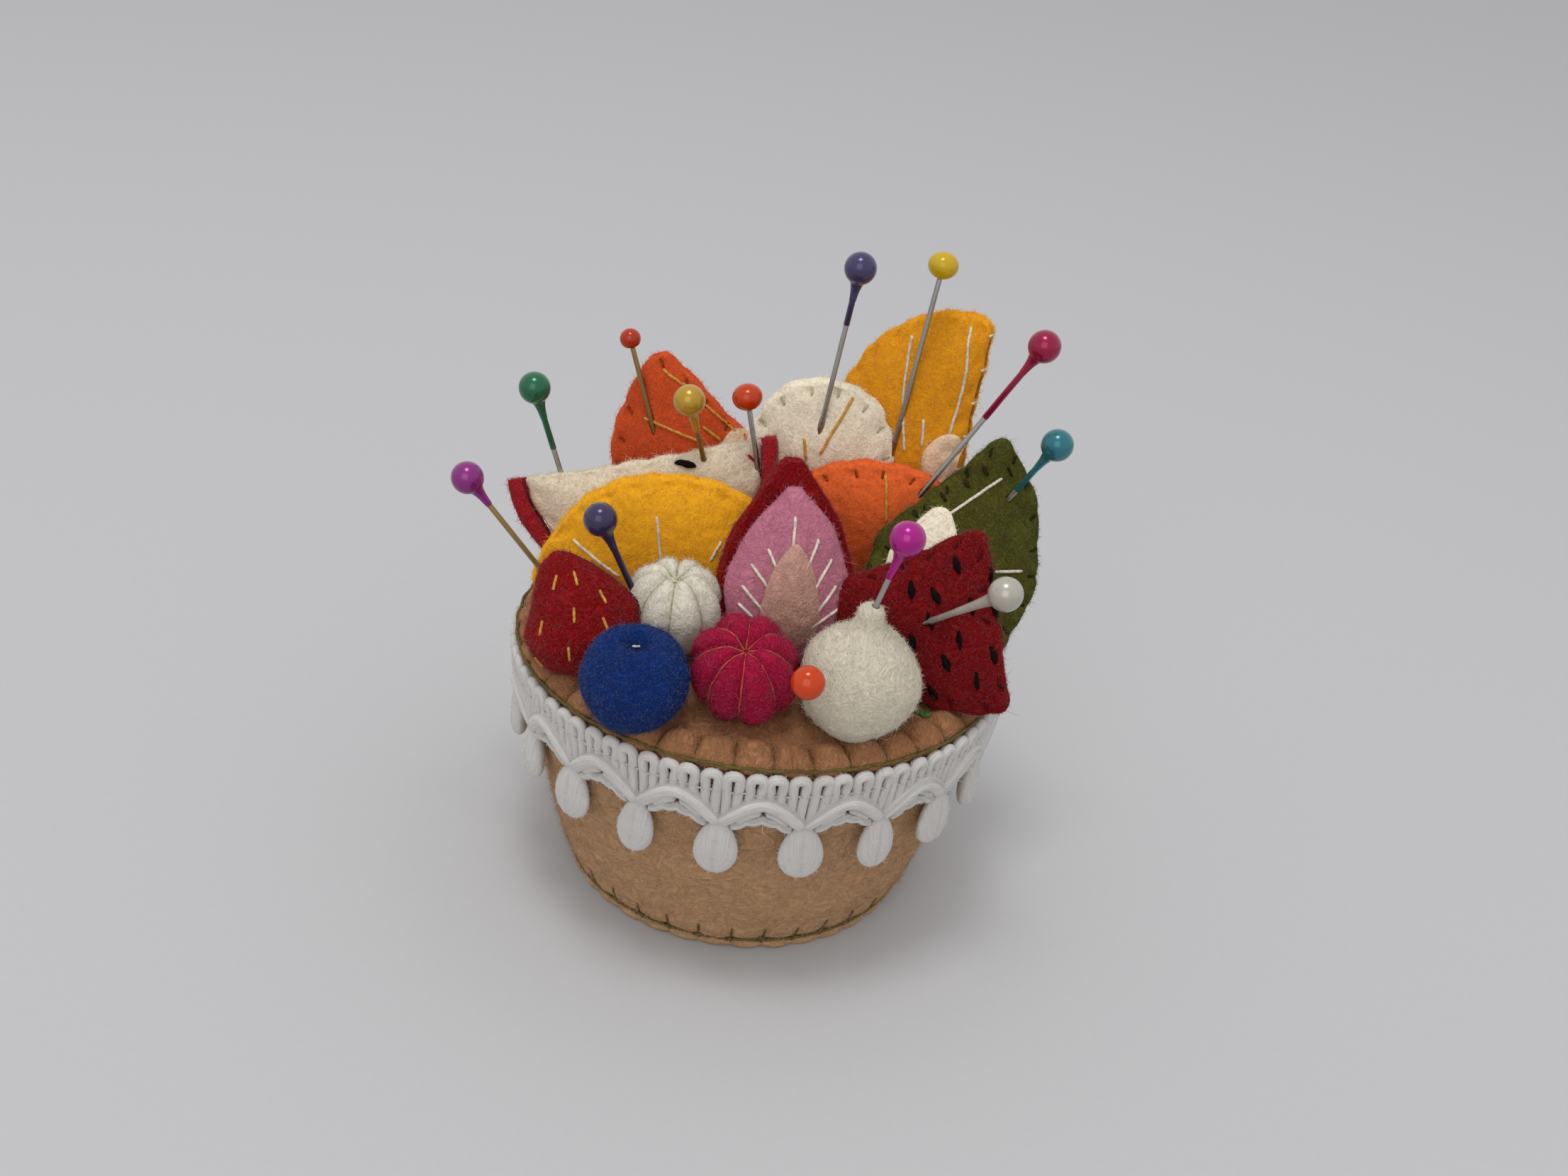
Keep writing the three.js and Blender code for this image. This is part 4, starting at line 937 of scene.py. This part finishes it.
FITTED = {  # each felt piece on the top, from the front back, and its felt
    "top_disc": "top", "cream_dollop": "cream", "strawberry": "red", "raspberry": "magenta",
    "white_berry": "white", "blueberry": "blue", "strawberry_half_body": "red",
    "strawberry_half_face": "pink", "strawberry_half_heart": "heart", "watermelon": "crimson",
    "watermelon_rind": "rind", "yellow_slice": "yellow", "kiwi_slice": "green", "kiwi_slice_core": "pale",
    "orange_slice": "orange", "lemon_slice": "lemon", "lemon_slice_core": "core", "orange_wedge": "wedge",
    "orange_wedge_core": "core", "apple_flesh": "apple", "apple_peel": "peel", "pale_slice": "pale",
}
WHOLE = {"bottom_disc": "tan", "side_wall": "tan", "cup_stuffing": "fibre"}
FINISH = WHOLE | FITTED
HOSTS = {  # laid on their hosts, so not cut by them
    "strawberry_half_face": "strawberry_half_body", "strawberry_half_heart": "strawberry_half_face",
    "kiwi_slice_core": "kiwi_slice", "lemon_slice_core": "lemon_slice", "orange_wedge_core": "orange_wedge",
}
UNCUT = {"bottom_disc", "side_wall"}
CUT_ROOM = 0.2


def overlapping(a, b):
    return bool(np.all(a.min(0) < b.max(0)) and np.all(b.min(0) < a.max(0)))


def largest_island(mesh):
    """Keeps the piece of a cut mesh that has the most points."""
    edges = np.array([tuple(edge.vertices) for edge in mesh.edges])
    label, before = np.arange(len(mesh.vertices)), None
    while before is None or (label != before).any():
        before = label.copy()
        np.minimum.at(label, edges.ravel(), label[edges].min(1).repeat(2))
        label = label[label]
    kept = label == np.bincount(label).argmax()
    if kept.all():
        return
    renumber = np.cumsum(kept) - 1
    points = np.array([v.co for v in mesh.vertices])[kept]
    faces = [tuple(int(renumber[i]) for i in f.vertices) for f in mesh.polygons if kept[f.vertices[0]]]
    mesh.clear_geometry()
    mesh.from_pydata(points.tolist(), [], faces)


def cut_to_fit(piece, cutters):
    for cutter in cutters:
        step = piece.modifiers.new("cut", "BOOLEAN")
        step.operation = "DIFFERENCE"
        step.solver = "MANIFOLD"
        step.object = cutter
    cut = bpy.data.meshes.new_from_object(piece.evaluated_get(bpy.context.evaluated_depsgraph_get()))
    piece.modifiers.clear()
    old, piece.data = piece.data, cut
    bpy.data.meshes.remove(old)
    largest_island(piece.data)
    piece.data.shade_smooth()
    piece.data.set_sharp_from_angle(angle=math.radians(FELT_SHARP))


def pin_lines():
    """Each pin's axis, the middle of its head, and its push, from the frame's joints and shafts."""
    lines = {}
    for joint in frame["joints"]:
        body = joint["child"]
        axis = unit(np.array(joint["axis"], float))
        points = points_of(frame["nodes"][body + "_shaft"].data)
        tip = points[np.argmin(points @ axis)]
        lines[body] = axis, tip + axis * PIN_LENGTH, joint["range_m"][0] / MM
    return lines


PIN_LINES = pin_lines()


def axis_matrix(axis, spot):
    turn = Vector((0, 0, 1)).rotation_difference(Vector(axis)).to_matrix().to_4x4()
    return Matrix.Translation(Vector(spot)) @ turn


def pin_holes():
    """A hole for each shaft, with room for its head at the end of its push."""
    rods = []
    for body, (axis, spot, push) in PIN_LINES.items():
        outline = head_profile(*PINS[body][0]) + (0, push)
        room = outline[1:] + (HEAD_ROOM, 0)
        low = push - PIN_LENGTH - 0.5
        profile = [outline[0], *room, (PIN_HOLE, room[-1][1] - HOLE_MOUTH), (PIN_HOLE, low), (0, low)]
        points, faces = turned(profile, HOLE_SIDES)
        rods.append((moved(points, axis_matrix(axis, spot)), faces))
    return joined(rods)


def fit_pieces():
    scratch = FELTS["fibre"]
    holes = shape("holes", *pin_holes(), scratch)
    pieces, cutters = {}, {}
    for name, felt in FINISH.items():
        points, faces = FORMS[name]
        piece = shape(name + "_felt", points, faces, FELTS[felt])
        before = [cutter for other, cutter in cutters.items()
                  if other != HOSTS.get(name) and overlapping(points, FORMS[other][0])]
        if name not in UNCUT:
            cut_to_fit(piece, before + [holes])
        if name in FITTED:
            grown = points + normals_of(points, faces) * CUT_ROOM
            cutters[name] = shape(name + "_cutter", grown, faces, scratch)
        pieces[name] = piece
    for cutter in [holes, *cutters.values()]:
        bpy.data.objects.remove(cutter)
    return pieces


def declare(pieces):
    for name, piece in pieces.items():
        on_cake(piece)
        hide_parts(name)


make_wall()
make_top()
make_bottom()
make_stuffing()
make_round_fruit()
make_half()
make_slices()
make_trims()
PIECES = fit_pieces()
declare(PIECES)


def surface_of(piece):
    return points_of(piece.data), [tuple(f.vertices) for f in piece.data.polygons]


SEARCH = {name: search_of(*surface_of(piece)) for name, piece in PIECES.items()}


# Stitches

STITCHES = {}


def add_stitch(group, colour, path, radius, **look):
    STITCHES.setdefault((group, colour), []).append(thread(path, radius, **look))


def looked_at(name, start, along):
    """Where a line first meets a piece, and the normal there, or two Nones."""
    spot, normal, *_ = SEARCH[name].ray_cast(start, along)
    return (None, None) if spot is None else (np.array(spot), np.array(normal))


def seen_at(name, pixel):
    """The point of a piece that a pixel of the photograph shows, and its normal."""
    return looked_at(name, EYE, pixel_ray(pixel))


def nearest(name, point):
    spot, normal, _, distance = SEARCH[name].find_nearest(point)
    return np.array(spot), np.array(normal), distance


def sunk(path, first, last, dip):
    """A path with its ends turned down into the felt."""
    return np.vstack([path[:1] - first * dip, path, path[-1:] - last * dip])


def lie_on(name, path, radius, dip=0.5):
    """A path brought down onto a piece."""
    met = [nearest(name, point) for point in smooth_path(path)]
    settled = np.array([spot + normal * radius * THREAD_RISE for spot, normal, _ in met])
    return sunk(settled, met[0][1], met[-1][1], dip)


# Pixels of the photograph: each sewn ray's thread and the points along it, and the middle of each seed

RAYS = {
    "yellow_slice": ("white", [
        [(810, 762), (872, 812)], [(927, 730), (933, 795)], [(1017, 765), (1003, 790)]]),
    "orange_wedge": ("gold", [
        [(937, 522), (1042, 612)], [(910, 590), (985, 622)], [(993, 603), (1015, 620)]]),
    "pale_slice": ("gold", [[(1203, 562), (1157, 640)], [(1135, 620), (1137, 648)]]),
    "orange_slice": ("gold", [[(1250, 670), (1250, 735)]]),
    "lemon_slice": ("white", [
        [(1287, 475), (1275, 560), (1276, 635)], [(1370, 462), (1360, 540), (1337, 622)],
        [(1303, 593), (1301, 628)]]),
    "kiwi_slice": ("white", [[(1318, 740), (1412, 676)], [(1405, 807), (1440, 806)]]),
    "apple_flesh": ("red", [
        [(741, 669), (753, 668)], [(747, 706), (765, 698)], [(1056, 643), (1071, 659)]]),
    "strawberry_half_face": ("white", [
        [(1122, 731), (1118, 784)], [(1085, 776), (1100, 811)], [(1154, 762), (1138, 804)],
        [(1061, 797), (1089, 836)], [(1172, 790), (1147, 835)], [(1048, 827), (1079, 864)],
        [(1178, 828), (1152, 864)], [(1043, 852), (1061, 870)], [(1181, 859), (1135, 890)]]),
}
STRAWBERRY_SEEDS = [(783, 822), (812, 816), (850, 842), (810, 868), (764, 886), (854, 881), (803, 923),
                    (761, 933), (796, 952)]
MELON_SEEDS = [(1350, 797), (1397, 813), (1286, 832), (1320, 840), (1313, 876), (1370, 855), (1402, 860),
               (1353, 903), (1335, 935), (1400, 925), (1378, 960), (1316, 976), (1288, 905)]
KIWI_SEEDS = [(1390, 665), (1424, 666), (1363, 683), (1330, 702), (1292, 726), (1332, 748)]
APPLE_SEEDS = [(843, 646), (967, 655)]
BERRY_STAR = (897, 912)


def sew_rays():
    for name, (colour, lines) in RAYS.items():
        for line in lines:
            spots = [seen_at(name, pixel)[0] for pixel in line]
            spots = [spot for spot in spots if spot is not None]
            if len(spots) > 1:
                add_stitch("rays", colour, lie_on(name, spots, RAY_THREAD), RAY_THREAD)


def sew_seed(name, pixel, colour, along, size, flat=None):
    """A stitch of a length and radius. A seed that is flat across also has pointed ends."""
    length, radius = size
    spot, normal = seen_at(name, pixel)
    if spot is None:
        return
    along = unit(along - normal * np.dot(along, normal))
    path = lie_on(name, [spot - along * length / 2, spot, spot + along * length / 2], radius, 0.2)
    add_stitch("seeds", colour, path, radius, up=normal, flat=flat or 1, pointed=flat is not None)


def sew_seeds():
    axis = np.array(FRAMES["strawberry"])[:3, 2]
    for pixel in STRAWBERRY_SEEDS:
        sew_seed("strawberry", pixel, "gold", axis + 0.25 * VIEW_RIGHT, STRAWBERRY_SEED)
    for k, pixel in enumerate(MELON_SEEDS):
        tilt = 0.3 + 0.25 * math.sin(2.4 * k)
        sew_seed("watermelon", pixel, "black", tilt * VIEW_RIGHT - VIEW_UP, MELON_SEED, 0.55)
    for pixel in KIWI_SEEDS:
        sew_seed("kiwi_slice", pixel, "green", VIEW_UP - 0.4 * VIEW_RIGHT, KIWI_SEED, 0.6)
    for pixel in APPLE_SEEDS:
        sew_seed("apple_flesh", pixel, "black", VIEW_RIGHT - 0.3 * VIEW_UP, APPLE_SEED, 0.5)
    sew_seed("blueberry", BERRY_STAR, "white", VIEW_RIGHT, STAR_STITCH)


def sew_berry(name, radius, colour):
    """A thread down each channel, drawn tight at the top."""
    matrix = np.array(FRAMES[name])
    downs = np.radians(np.linspace(3, 165, 60))
    for k in range(BERRY_LOBES):
        away = around(np.sin(downs), math.radians(360 / BERRY_LOBES * k), np.cos(downs)) @ matrix[:3, :3].T
        met = [looked_at(name, matrix[:3, 3] + out * (radius + 3), -out) for out in away]
        path = [spot + normal * THREAD_LIFT for spot, normal in met if spot is not None]
        add_stitch("channels", colour, smooth_path(path[::3]), CHANNEL_THREAD)


def blanket_stitch(group, count, radius, height, stitch):
    """A thread round an edge, with a stitch in from it at each tuck."""
    turns = np.radians(np.linspace(0, 360, 840))
    wave = 0.12 * np.cos(turns * count)
    add_stitch(group, "olive", around(radius + wave * 0.5, turns, height + wave), SEAM_THREAD, twist=0.5)
    for angle in stitch_angles(count):
        path = stitch(np.array([*polar(1, angle), 0]))
        add_stitch(group, "olive", smooth_path(path), TUCK_THREAD)


def rim_stitch(out):
    """From the seam, over the rolled edge and along a crease."""
    path = [out * (RIM_RADIUS + 0.15) + (0, 0, RIM_SEAM - 0.3)]
    for inset in RIM_STITCH_INSETS:
        spot, _ = looked_at("top_disc", out * (RIM_RADIUS - inset) + (0, 0, CLEAR), (0, 0, -1))
        if spot is not None:
            path.append(spot + (0, 0, THREAD_LIFT))
    return [*path, path[-1] - (0, 0, 0.5)]


def base_stitch(out):
    """From the seam up the wall, in a crease."""
    path = [out * (BASE_RADIUS - 0.1) + (0, 0, 0.9)]
    for rise in BASE_STITCH_RISES:
        path.append(looked_at("side_wall", out * CLEAR + (0, 0, rise), -out)[0] + out * THREAD_LIFT)
    return [*path, path[-1] - out * 0.5]


def sew_if_near(name, colour, path, radius, reach):
    """An edge stitch, left out where its piece has been cut away."""
    if max(nearest(name, spot)[2] for spot in path) < reach:
        add_stitch("edges", colour, lie_on(name, path, radius, 0.3), radius)


def sew_edge(name, colour):
    """Short stitches that hold a slice's two faces together, a little in from its edge."""
    outline, middle = OUTLINES[name]
    for place in stitch_places(outline):
        edge = outline[int(place * len(outline))]
        inward = unit(middle - edge)
        for face in (1, -1):
            flat = [edge + inward * distance for distance in (TUCK_INSET - 0.5, TUCK_INSET + 0.5)]
            path = moved([(*spot, face * SLICE_EDGE / 2) for spot in flat], FRAMES[name])
            sew_if_near(name, colour, path, EDGE_THREAD, 0.9)


def sew_cut_edge(name, radius):
    """Long stitches along the straight edge of a half disc, with a tie between each two."""
    for start in np.arange(-radius + 2, radius - 4, CUT_PITCH):
        along = moved([(start + run, CUT_RISE, 0) for run in CUT_STITCH], FRAMES[name])
        tie = moved([(start + CUT_TIE_AT, CUT_TIE_RISE, z) for z in CUT_TIE], FRAMES[name])
        for path, colour in ((along, "amber"), (tie, "white")):
            sew_if_near(name, colour, path, CUT_THREAD, 1.2)


sew_rays()
sew_seeds()
sew_berry("raspberry", RASPBERRY_RADIUS, "orange")
sew_berry("white_berry", WHITE_BERRY_RADIUS, "mint")
blanket_stitch("rim", RIM_STITCHES, RIM_RADIUS + 0.3, RIM_SEAM, rim_stitch)
blanket_stitch("base", BASE_STITCHES, BASE_RADIUS + 0.35, FELT + 0.25, base_stitch)
# Each slice's edge thread is darker than its felt: partly the thread's own colour, partly painted shade of
# the dent that each stitch pulls in.
EDGE_THREADS = {"orange_slice": "rust", "orange_wedge": "rust", "kiwi_slice": "green",
                "pale_slice": "stone", "watermelon": "wine"}
for host, colour in EDGE_THREADS.items():
    sew_edge(host, colour)
sew_cut_edge("lemon_slice", LEMON_RADIUS)
for (group, colour), shapes in STITCHES.items():
    on_cake(shape(f"{group}_{colour}_thread", *joined(shapes), THREADS[colour]))


# Lace

def lace_path(angles, heights, lift):
    """Points at angles from the first drop, in degrees, lifted off the wall."""
    heights = np.broadcast_to(np.asarray(heights, float), np.shape(angles))
    flat = polar(wall_radius(heights) + lift, np.asarray(angles) + LACE_START - 90)
    return np.column_stack([flat, heights])


def cord(path, radius, sides=10):
    """A soft cord with a map that runs along it."""
    points, faces = thread(path, radius, plies=3, twist=0.1, ply=0.05, sides=sides)
    rows = (len(points) - 2) // sides
    across = np.tile(np.arange(sides) / sides, rows)
    along = np.repeat(np.arange(rows) * YARN_STEP, sides)
    return points, faces, np.vstack([[0.5, 0], np.column_stack([across, along]), [0.5, rows * YARN_STEP]])


def arch_height(share):
    """From neck to neck, up to a rounded peak."""
    away = np.sqrt((2 * share - 1) ** 2 + ARCH_PEAK)
    low, high = math.sqrt(1 + ARCH_PEAK), math.sqrt(ARCH_PEAK)
    return LACE_NECK + LACE_ARCH * (low - away) / (low - high)


def lace_loops():
    """A row of upright loops along the top, whose legs run down behind the arches."""
    loop = DROP_PITCH / LOOPS_PER_DROP
    across = LOOP_SHAPE * loop
    crest = LACE_TOP - LOOP_CORD
    bend = [crest - drop for drop in LOOP_BEND]
    cords = []
    for k in range(LACE_DROPS * LOOPS_PER_DROP):
        middle = (k + 0.5) * loop
        left, right = arch_height((middle + across[[0, -1]]) / DROP_PITCH % 1)
        rises = np.array([left, (left + crest) / 2, *bend, (right + crest) / 2, right])
        sway = LOOP_SWAY * loop * math.sin(2.1 * k) * (rises - LACE_NECK) / (crest - LACE_NECK)
        path = smooth_path(lace_path(middle + across + sway, rises, LOOP_LIFT), LOOP_STEP)
        cords.append(cord(path, LOOP_CORD))
    return cords


def lace_arches():
    """A thick cord from neck to neck, and below it two short cords and a row of small scallops."""
    share, scallop = np.linspace(0, 1, 29), np.linspace(SCALLOP_START, 1 - SCALLOP_START, 49)
    thick = ARCH_CORD * (0.7 + 0.3 * np.sin(np.pi * share) ** 0.5)
    bumps = np.abs(np.sin(SCALLOPS * np.pi * (scallop - SCALLOP_START) / SCALLOP_LENGTH))
    below = SCALLOP_DROP + SCALLOP_SAG * np.sin(np.pi * scallop) ** 2 + SCALLOP_BUMP * bumps
    sides = [(np.linspace(start, start + SIDE_LENGTH, 12), SIDE_DROP) for start in SIDE_STARTS]
    cords = []
    for k in range(LACE_DROPS):
        cords.append(cord(lace_path((k + share) * DROP_PITCH, arch_height(share), ARCH_LIFT), thick, 14))
        for run, drop in [*sides, (scallop, below)]:
            path = lace_path((k + run) * DROP_PITCH, arch_height(run) - drop, PICOT_LIFT)
            cords.append(cord(path, PICOT_CORD))
    turns = np.linspace(0, 360, 570)
    weave = TIE_HEIGHT + TIE_WAVE * np.sin(np.radians(turns) * TIE_WAVES)
    cords.append(cord(lace_path(turns, weave, TIE_LIFT), TIE_CORD, 6))
    return cords


def lace_drop(angle, seed):
    """A flat skein: its strands run down one side, round the bottom and up the other."""
    share = np.linspace(0.01, 0.99, DROP_ROWS)[:, None]
    width = share ** 0.5 * (1 - share ** 2.6) ** 0.55
    width = width / width.max()
    turn = full_turn(DROP_COLUMNS)[None]
    across = DROP_WIDTH / 2 * (1 + DROP_VARY * math.sin(2.7 * seed)) * width * np.sin(turn)
    fold = 1 - FOLD_DEPTH * np.exp(-(across / FOLD_WIDTH) ** 2) * np.clip(3 * share, 0, 1)
    out = DROP_THICK / 2 * width ** 0.7 * np.cos(turn) * fold
    sway = DROP_SWAY * math.sin(1.7 * seed) * share
    top = LACE_NECK + DROP_RAISE
    rings = np.stack([out, across + sway, top - DROP_LENGTH * share + 0 * across], -1)
    points, faces = closed_surface((0, 0, top), rings, (0, sway[-1, 0], top - DROP_LENGTH))
    hang = Matrix.Translation((wall_radius(top) + DROP_LIFT, 0, 0))
    matrix = Matrix.Rotation(math.radians(angle + LACE_START - 90), 4, "Z") @ hang
    down = np.maximum(share - DROP_ROUND, 0) / (1 - DROP_ROUND) * DROP_WIDTH / 2
    nest = np.hypot(across, down) * 0.5
    run = np.stack([nest, np.broadcast_to(share * 2, nest.shape)], -1).reshape(-1, 2)
    return moved(points, matrix), faces, np.vstack([[0, 0], run, [DROP_WIDTH / 4, 2]])


def make_lace():
    pieces = {}
    drops = [lace_drop(360 / LACE_DROPS * k, k) for k in range(LACE_DROPS)]
    for name, parts in {"lace_braid": lace_loops() + lace_arches(), "lace_drops": drops}.items():
        piece = shape(name, *joined([part[:2] for part in parts]), LACE)
        map_points(piece, "yarn", np.vstack([part[2] for part in parts]))
        on_cake(piece)
        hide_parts("lace_trim")
        pieces[name] = piece
    return pieces


LACE_PIECES = make_lace()


# The pins' heads and shafts

def make_pins():
    for body, (head, colour, paint, wire) in PINS.items():
        axis, spot, _ = PIN_LINES[body]
        matrix = axis_matrix(axis, spot)
        pearl = head[2] > 0
        parts = {"head": (head_form(*head, paint), head_material(body + "_finish", colour, pearl)),
                 "shaft": (shaft_form(), WIRES[wire])}
        for part, ((points, faces), finish) in parts.items():
            piece = shape(f"{body}_{part}_fine", moved(points, matrix), faces, finish)
            piece.data.set_sharp_from_angle(angle=math.radians(PIN_SHARP))
            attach(piece, body)
            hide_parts(f"{body}_{part}")


make_pins()


# Loose fibres that stand off the felt and lace: how many to a square millimetre, and how long

FIBRE_RADIUS = 0.021
FRUIT_FUZZ, LACE_FUZZ, WALL_FUZZ, TOP_FUZZ = (9, 0.95), (2.2, 0.7), (3.4, 1.7), (3.4, 1.4)
FUZZ_OF = {"side_wall": WALL_FUZZ, "top_disc": TOP_FUZZ, "lace_braid": LACE_FUZZ, "lace_drops": LACE_FUZZ}
LONG_SHARE, LONG_TIMES = 0.015, 2.4
FIBRE_LEAN, FIBRE_REACH, FIBRE_CURL, FIBRE_SAG, FIBRE_ROOT = (0.05, 0.7), (0.4, 1.3), 0.7, 0.2, 0.08
FIBRE_CLEAR, FIBRE_ROOM = 0.25, 2
FIBRE_SPOTS = np.array([(0.2, 0.2), (0.5, 0.2), (0.8, 0.2), (0.2, 0.6), (0.5, 0.6), (0.8, 0.6), (0.5, 0.9)])
FUZZ_SEED = 7
FUZZ_FREE = ("cup_stuffing", "bottom_disc")


def scattered(piece, count, rng):
    """Random points and normals on a piece, even by area."""
    mesh = piece.data
    mesh.calc_loop_triangles()
    corners = np.empty(len(mesh.loop_triangles) * 3, np.int32)
    mesh.loop_triangles.foreach_get("vertices", corners)
    points = points_of(mesh)
    a, b, c = np.moveaxis(points[corners.reshape(-1, 3)], 1, 0)
    across = np.cross(b - a, c - a)
    size = np.linalg.norm(across, axis=1) / 2
    pick = rng.choice(len(a), int(count * size.sum()), p=size / size.sum())
    u, v = rng.random((2, len(pick), 1))
    over = u + v > 1
    u, v = np.where(over, 1 - u, u), np.where(over, 1 - v, v)
    return a[pick] + u * (b - a)[pick] + v * (c - a)[pick], unit(across[pick])


def open_spots(points, normals, everything):
    """Those points that have some room before them."""
    met = [everything.ray_cast(p + FIBRE_CLEAR * n, n, FIBRE_ROOM)[0] for p, n in zip(points, normals)]
    return np.array([spot is None for spot in met], bool)


def fibre_mesh(points, normals, length, rng):
    """Bent spikes with three sides, each with seven corners."""
    count = len(points)
    sideways = unit(np.cross(normals, rng.normal(size=(count, 3))))
    first = unit(sideways + normals * rng.uniform(*FIBRE_LEAN, (count, 1)))
    second = unit(first + FIBRE_CURL * rng.normal(size=(count, 3)) - FIBRE_SAG * normals)
    reach = length * rng.uniform(*FIBRE_REACH, (count, 1)) / 2
    reach = np.where(rng.random((count, 1)) < LONG_SHARE, LONG_TIMES * reach, reach)
    root, bend = points - FIBRE_ROOT * normals, points + first * reach
    tip = bend + second * reach
    side = unit(np.cross(first, normals + 0.01))
    other = np.cross(first, side)
    rings = []
    for spot, width in ((root, FIBRE_RADIUS), (bend, FIBRE_RADIUS * 0.8)):
        for turn in np.radians([90, 210, 330]):
            rings.append(spot + width * (math.cos(turn) * side + math.sin(turn) * other))
    corners = np.stack(rings + [tip], 1)
    corners[..., 2] = np.maximum(corners[..., 2], FLOOR_ROOM)
    start = 7 * np.arange(count)[:, None]
    quads = [[0, 1, 4, 3], [1, 2, 5, 4], [2, 0, 3, 5]]
    ends = [[2, 1, 0], [3, 4, 6], [4, 5, 6], [5, 3, 6]]
    faces = [tuple(f) for some in (quads, ends) for one in some for f in (start + np.array(one)[None])]
    return corners.reshape(-1, 3), faces


def fibre_map(piece, count):
    """Each fibre gets its own small square of the map."""
    side = math.ceil(math.sqrt(count))
    cell = np.column_stack([np.arange(count) % side, np.arange(count) // side])
    map_points(piece, "OFBake", ((cell[:, None] + FIBRE_SPOTS[None]) / side).reshape(-1, 2))


def make_fuzz():
    rng = np.random.default_rng(FUZZ_SEED)
    pieces = PIECES | LACE_PIECES
    everything = search_of(*joined([surface_of(piece) for piece in pieces.values()]))
    for name, piece in pieces.items():
        if name in FUZZ_FREE:
            continue
        count, length = FUZZ_OF.get(name, FRUIT_FUZZ)
        points, normals = scattered(piece, count, rng)
        free = open_spots(points, normals, everything)
        if free.any():
            surface = fibre_mesh(points[free], normals[free], length, rng)
            fuzz = on_cake(shape(name + "_fibres", *surface, FUZZ[FINISH.get(name, "fibre")]))
            fibre_map(fuzz, int(free.sum()))


make_fuzz()


# Stage: the lights' places and sizes are in metres, their power in watts

FLOOR_HALF = 4000
LIGHTS = {"key": ((-0.08, -0.1, 0.8), 0.22, 1.7), "front": ((-0.3, -1.6, 1), 1.3, 6.5)}
LIGHT_AIM = 0, 0, 0.03
SKY_STRENGTH = 0.77


def make_stage():
    add, finish, place = material("floor_paper")
    tone = mixed(add, speckle(add, place, PAPER_WAVES), linear("#bfbfc0"), linear("#bbbbbc"))
    paper = finish({"Base Color": tone}, Roughness=0.9, Specular_IOR_Level=0.1)
    corners = [(x * FLOOR_HALF, y * FLOOR_HALF, 0) for x, y in ((-1, -1), (1, -1), (1, 1), (-1, 1))]
    shape("floor", corners, [(0, 1, 2, 3)], paper)


def make_lights():
    for name, (spot, size, power) in LIGHTS.items():
        lamp = bpy.data.lights.new(name, "AREA")
        lamp.shape = "SQUARE"
        lamp.size = size
        lamp.energy = power
        light = bpy.data.objects.new(name, lamp)
        light.location = spot
        light.rotation_euler = (Vector(LIGHT_AIM) - Vector(spot)).to_track_quat("-Z", "Y").to_euler()
        bpy.context.scene.collection.objects.link(light)
    world = bpy.data.worlds.new("studio")
    world.use_nodes = True
    sky = world.node_tree.nodes["Background"].inputs
    sky["Color"].default_value = linear("#fafafc")
    sky["Strength"].default_value = SKY_STRENGTH
    bpy.context.scene.world = world


def make_camera():
    lens = bpy.data.cameras.new("camera")
    lens.lens, lens.sensor_width, lens.sensor_fit = LENS, SENSOR, "HORIZONTAL"
    lens.shift_x = (PHOTO_WIDTH / 2 - AIM_PIXEL[0]) / PHOTO_WIDTH
    lens.shift_y = (AIM_PIXEL[1] - PHOTO_HEIGHT / 2) / PHOTO_WIDTH
    lens.clip_start, lens.clip_end = 0.01, 20
    camera = bpy.data.objects.new("camera", lens)
    turn = Matrix(np.column_stack([VIEW_RIGHT, VIEW_UP, VIEW_BACK]).tolist()).to_4x4()
    camera.matrix_world = Matrix.Translation(Vector(EYE * MM)) @ turn
    bpy.context.scene.collection.objects.link(camera)
    bpy.context.scene.camera = camera


make_stage()
make_lights()
make_camera()
bpy.context.scene.view_settings.view_transform = "Standard"
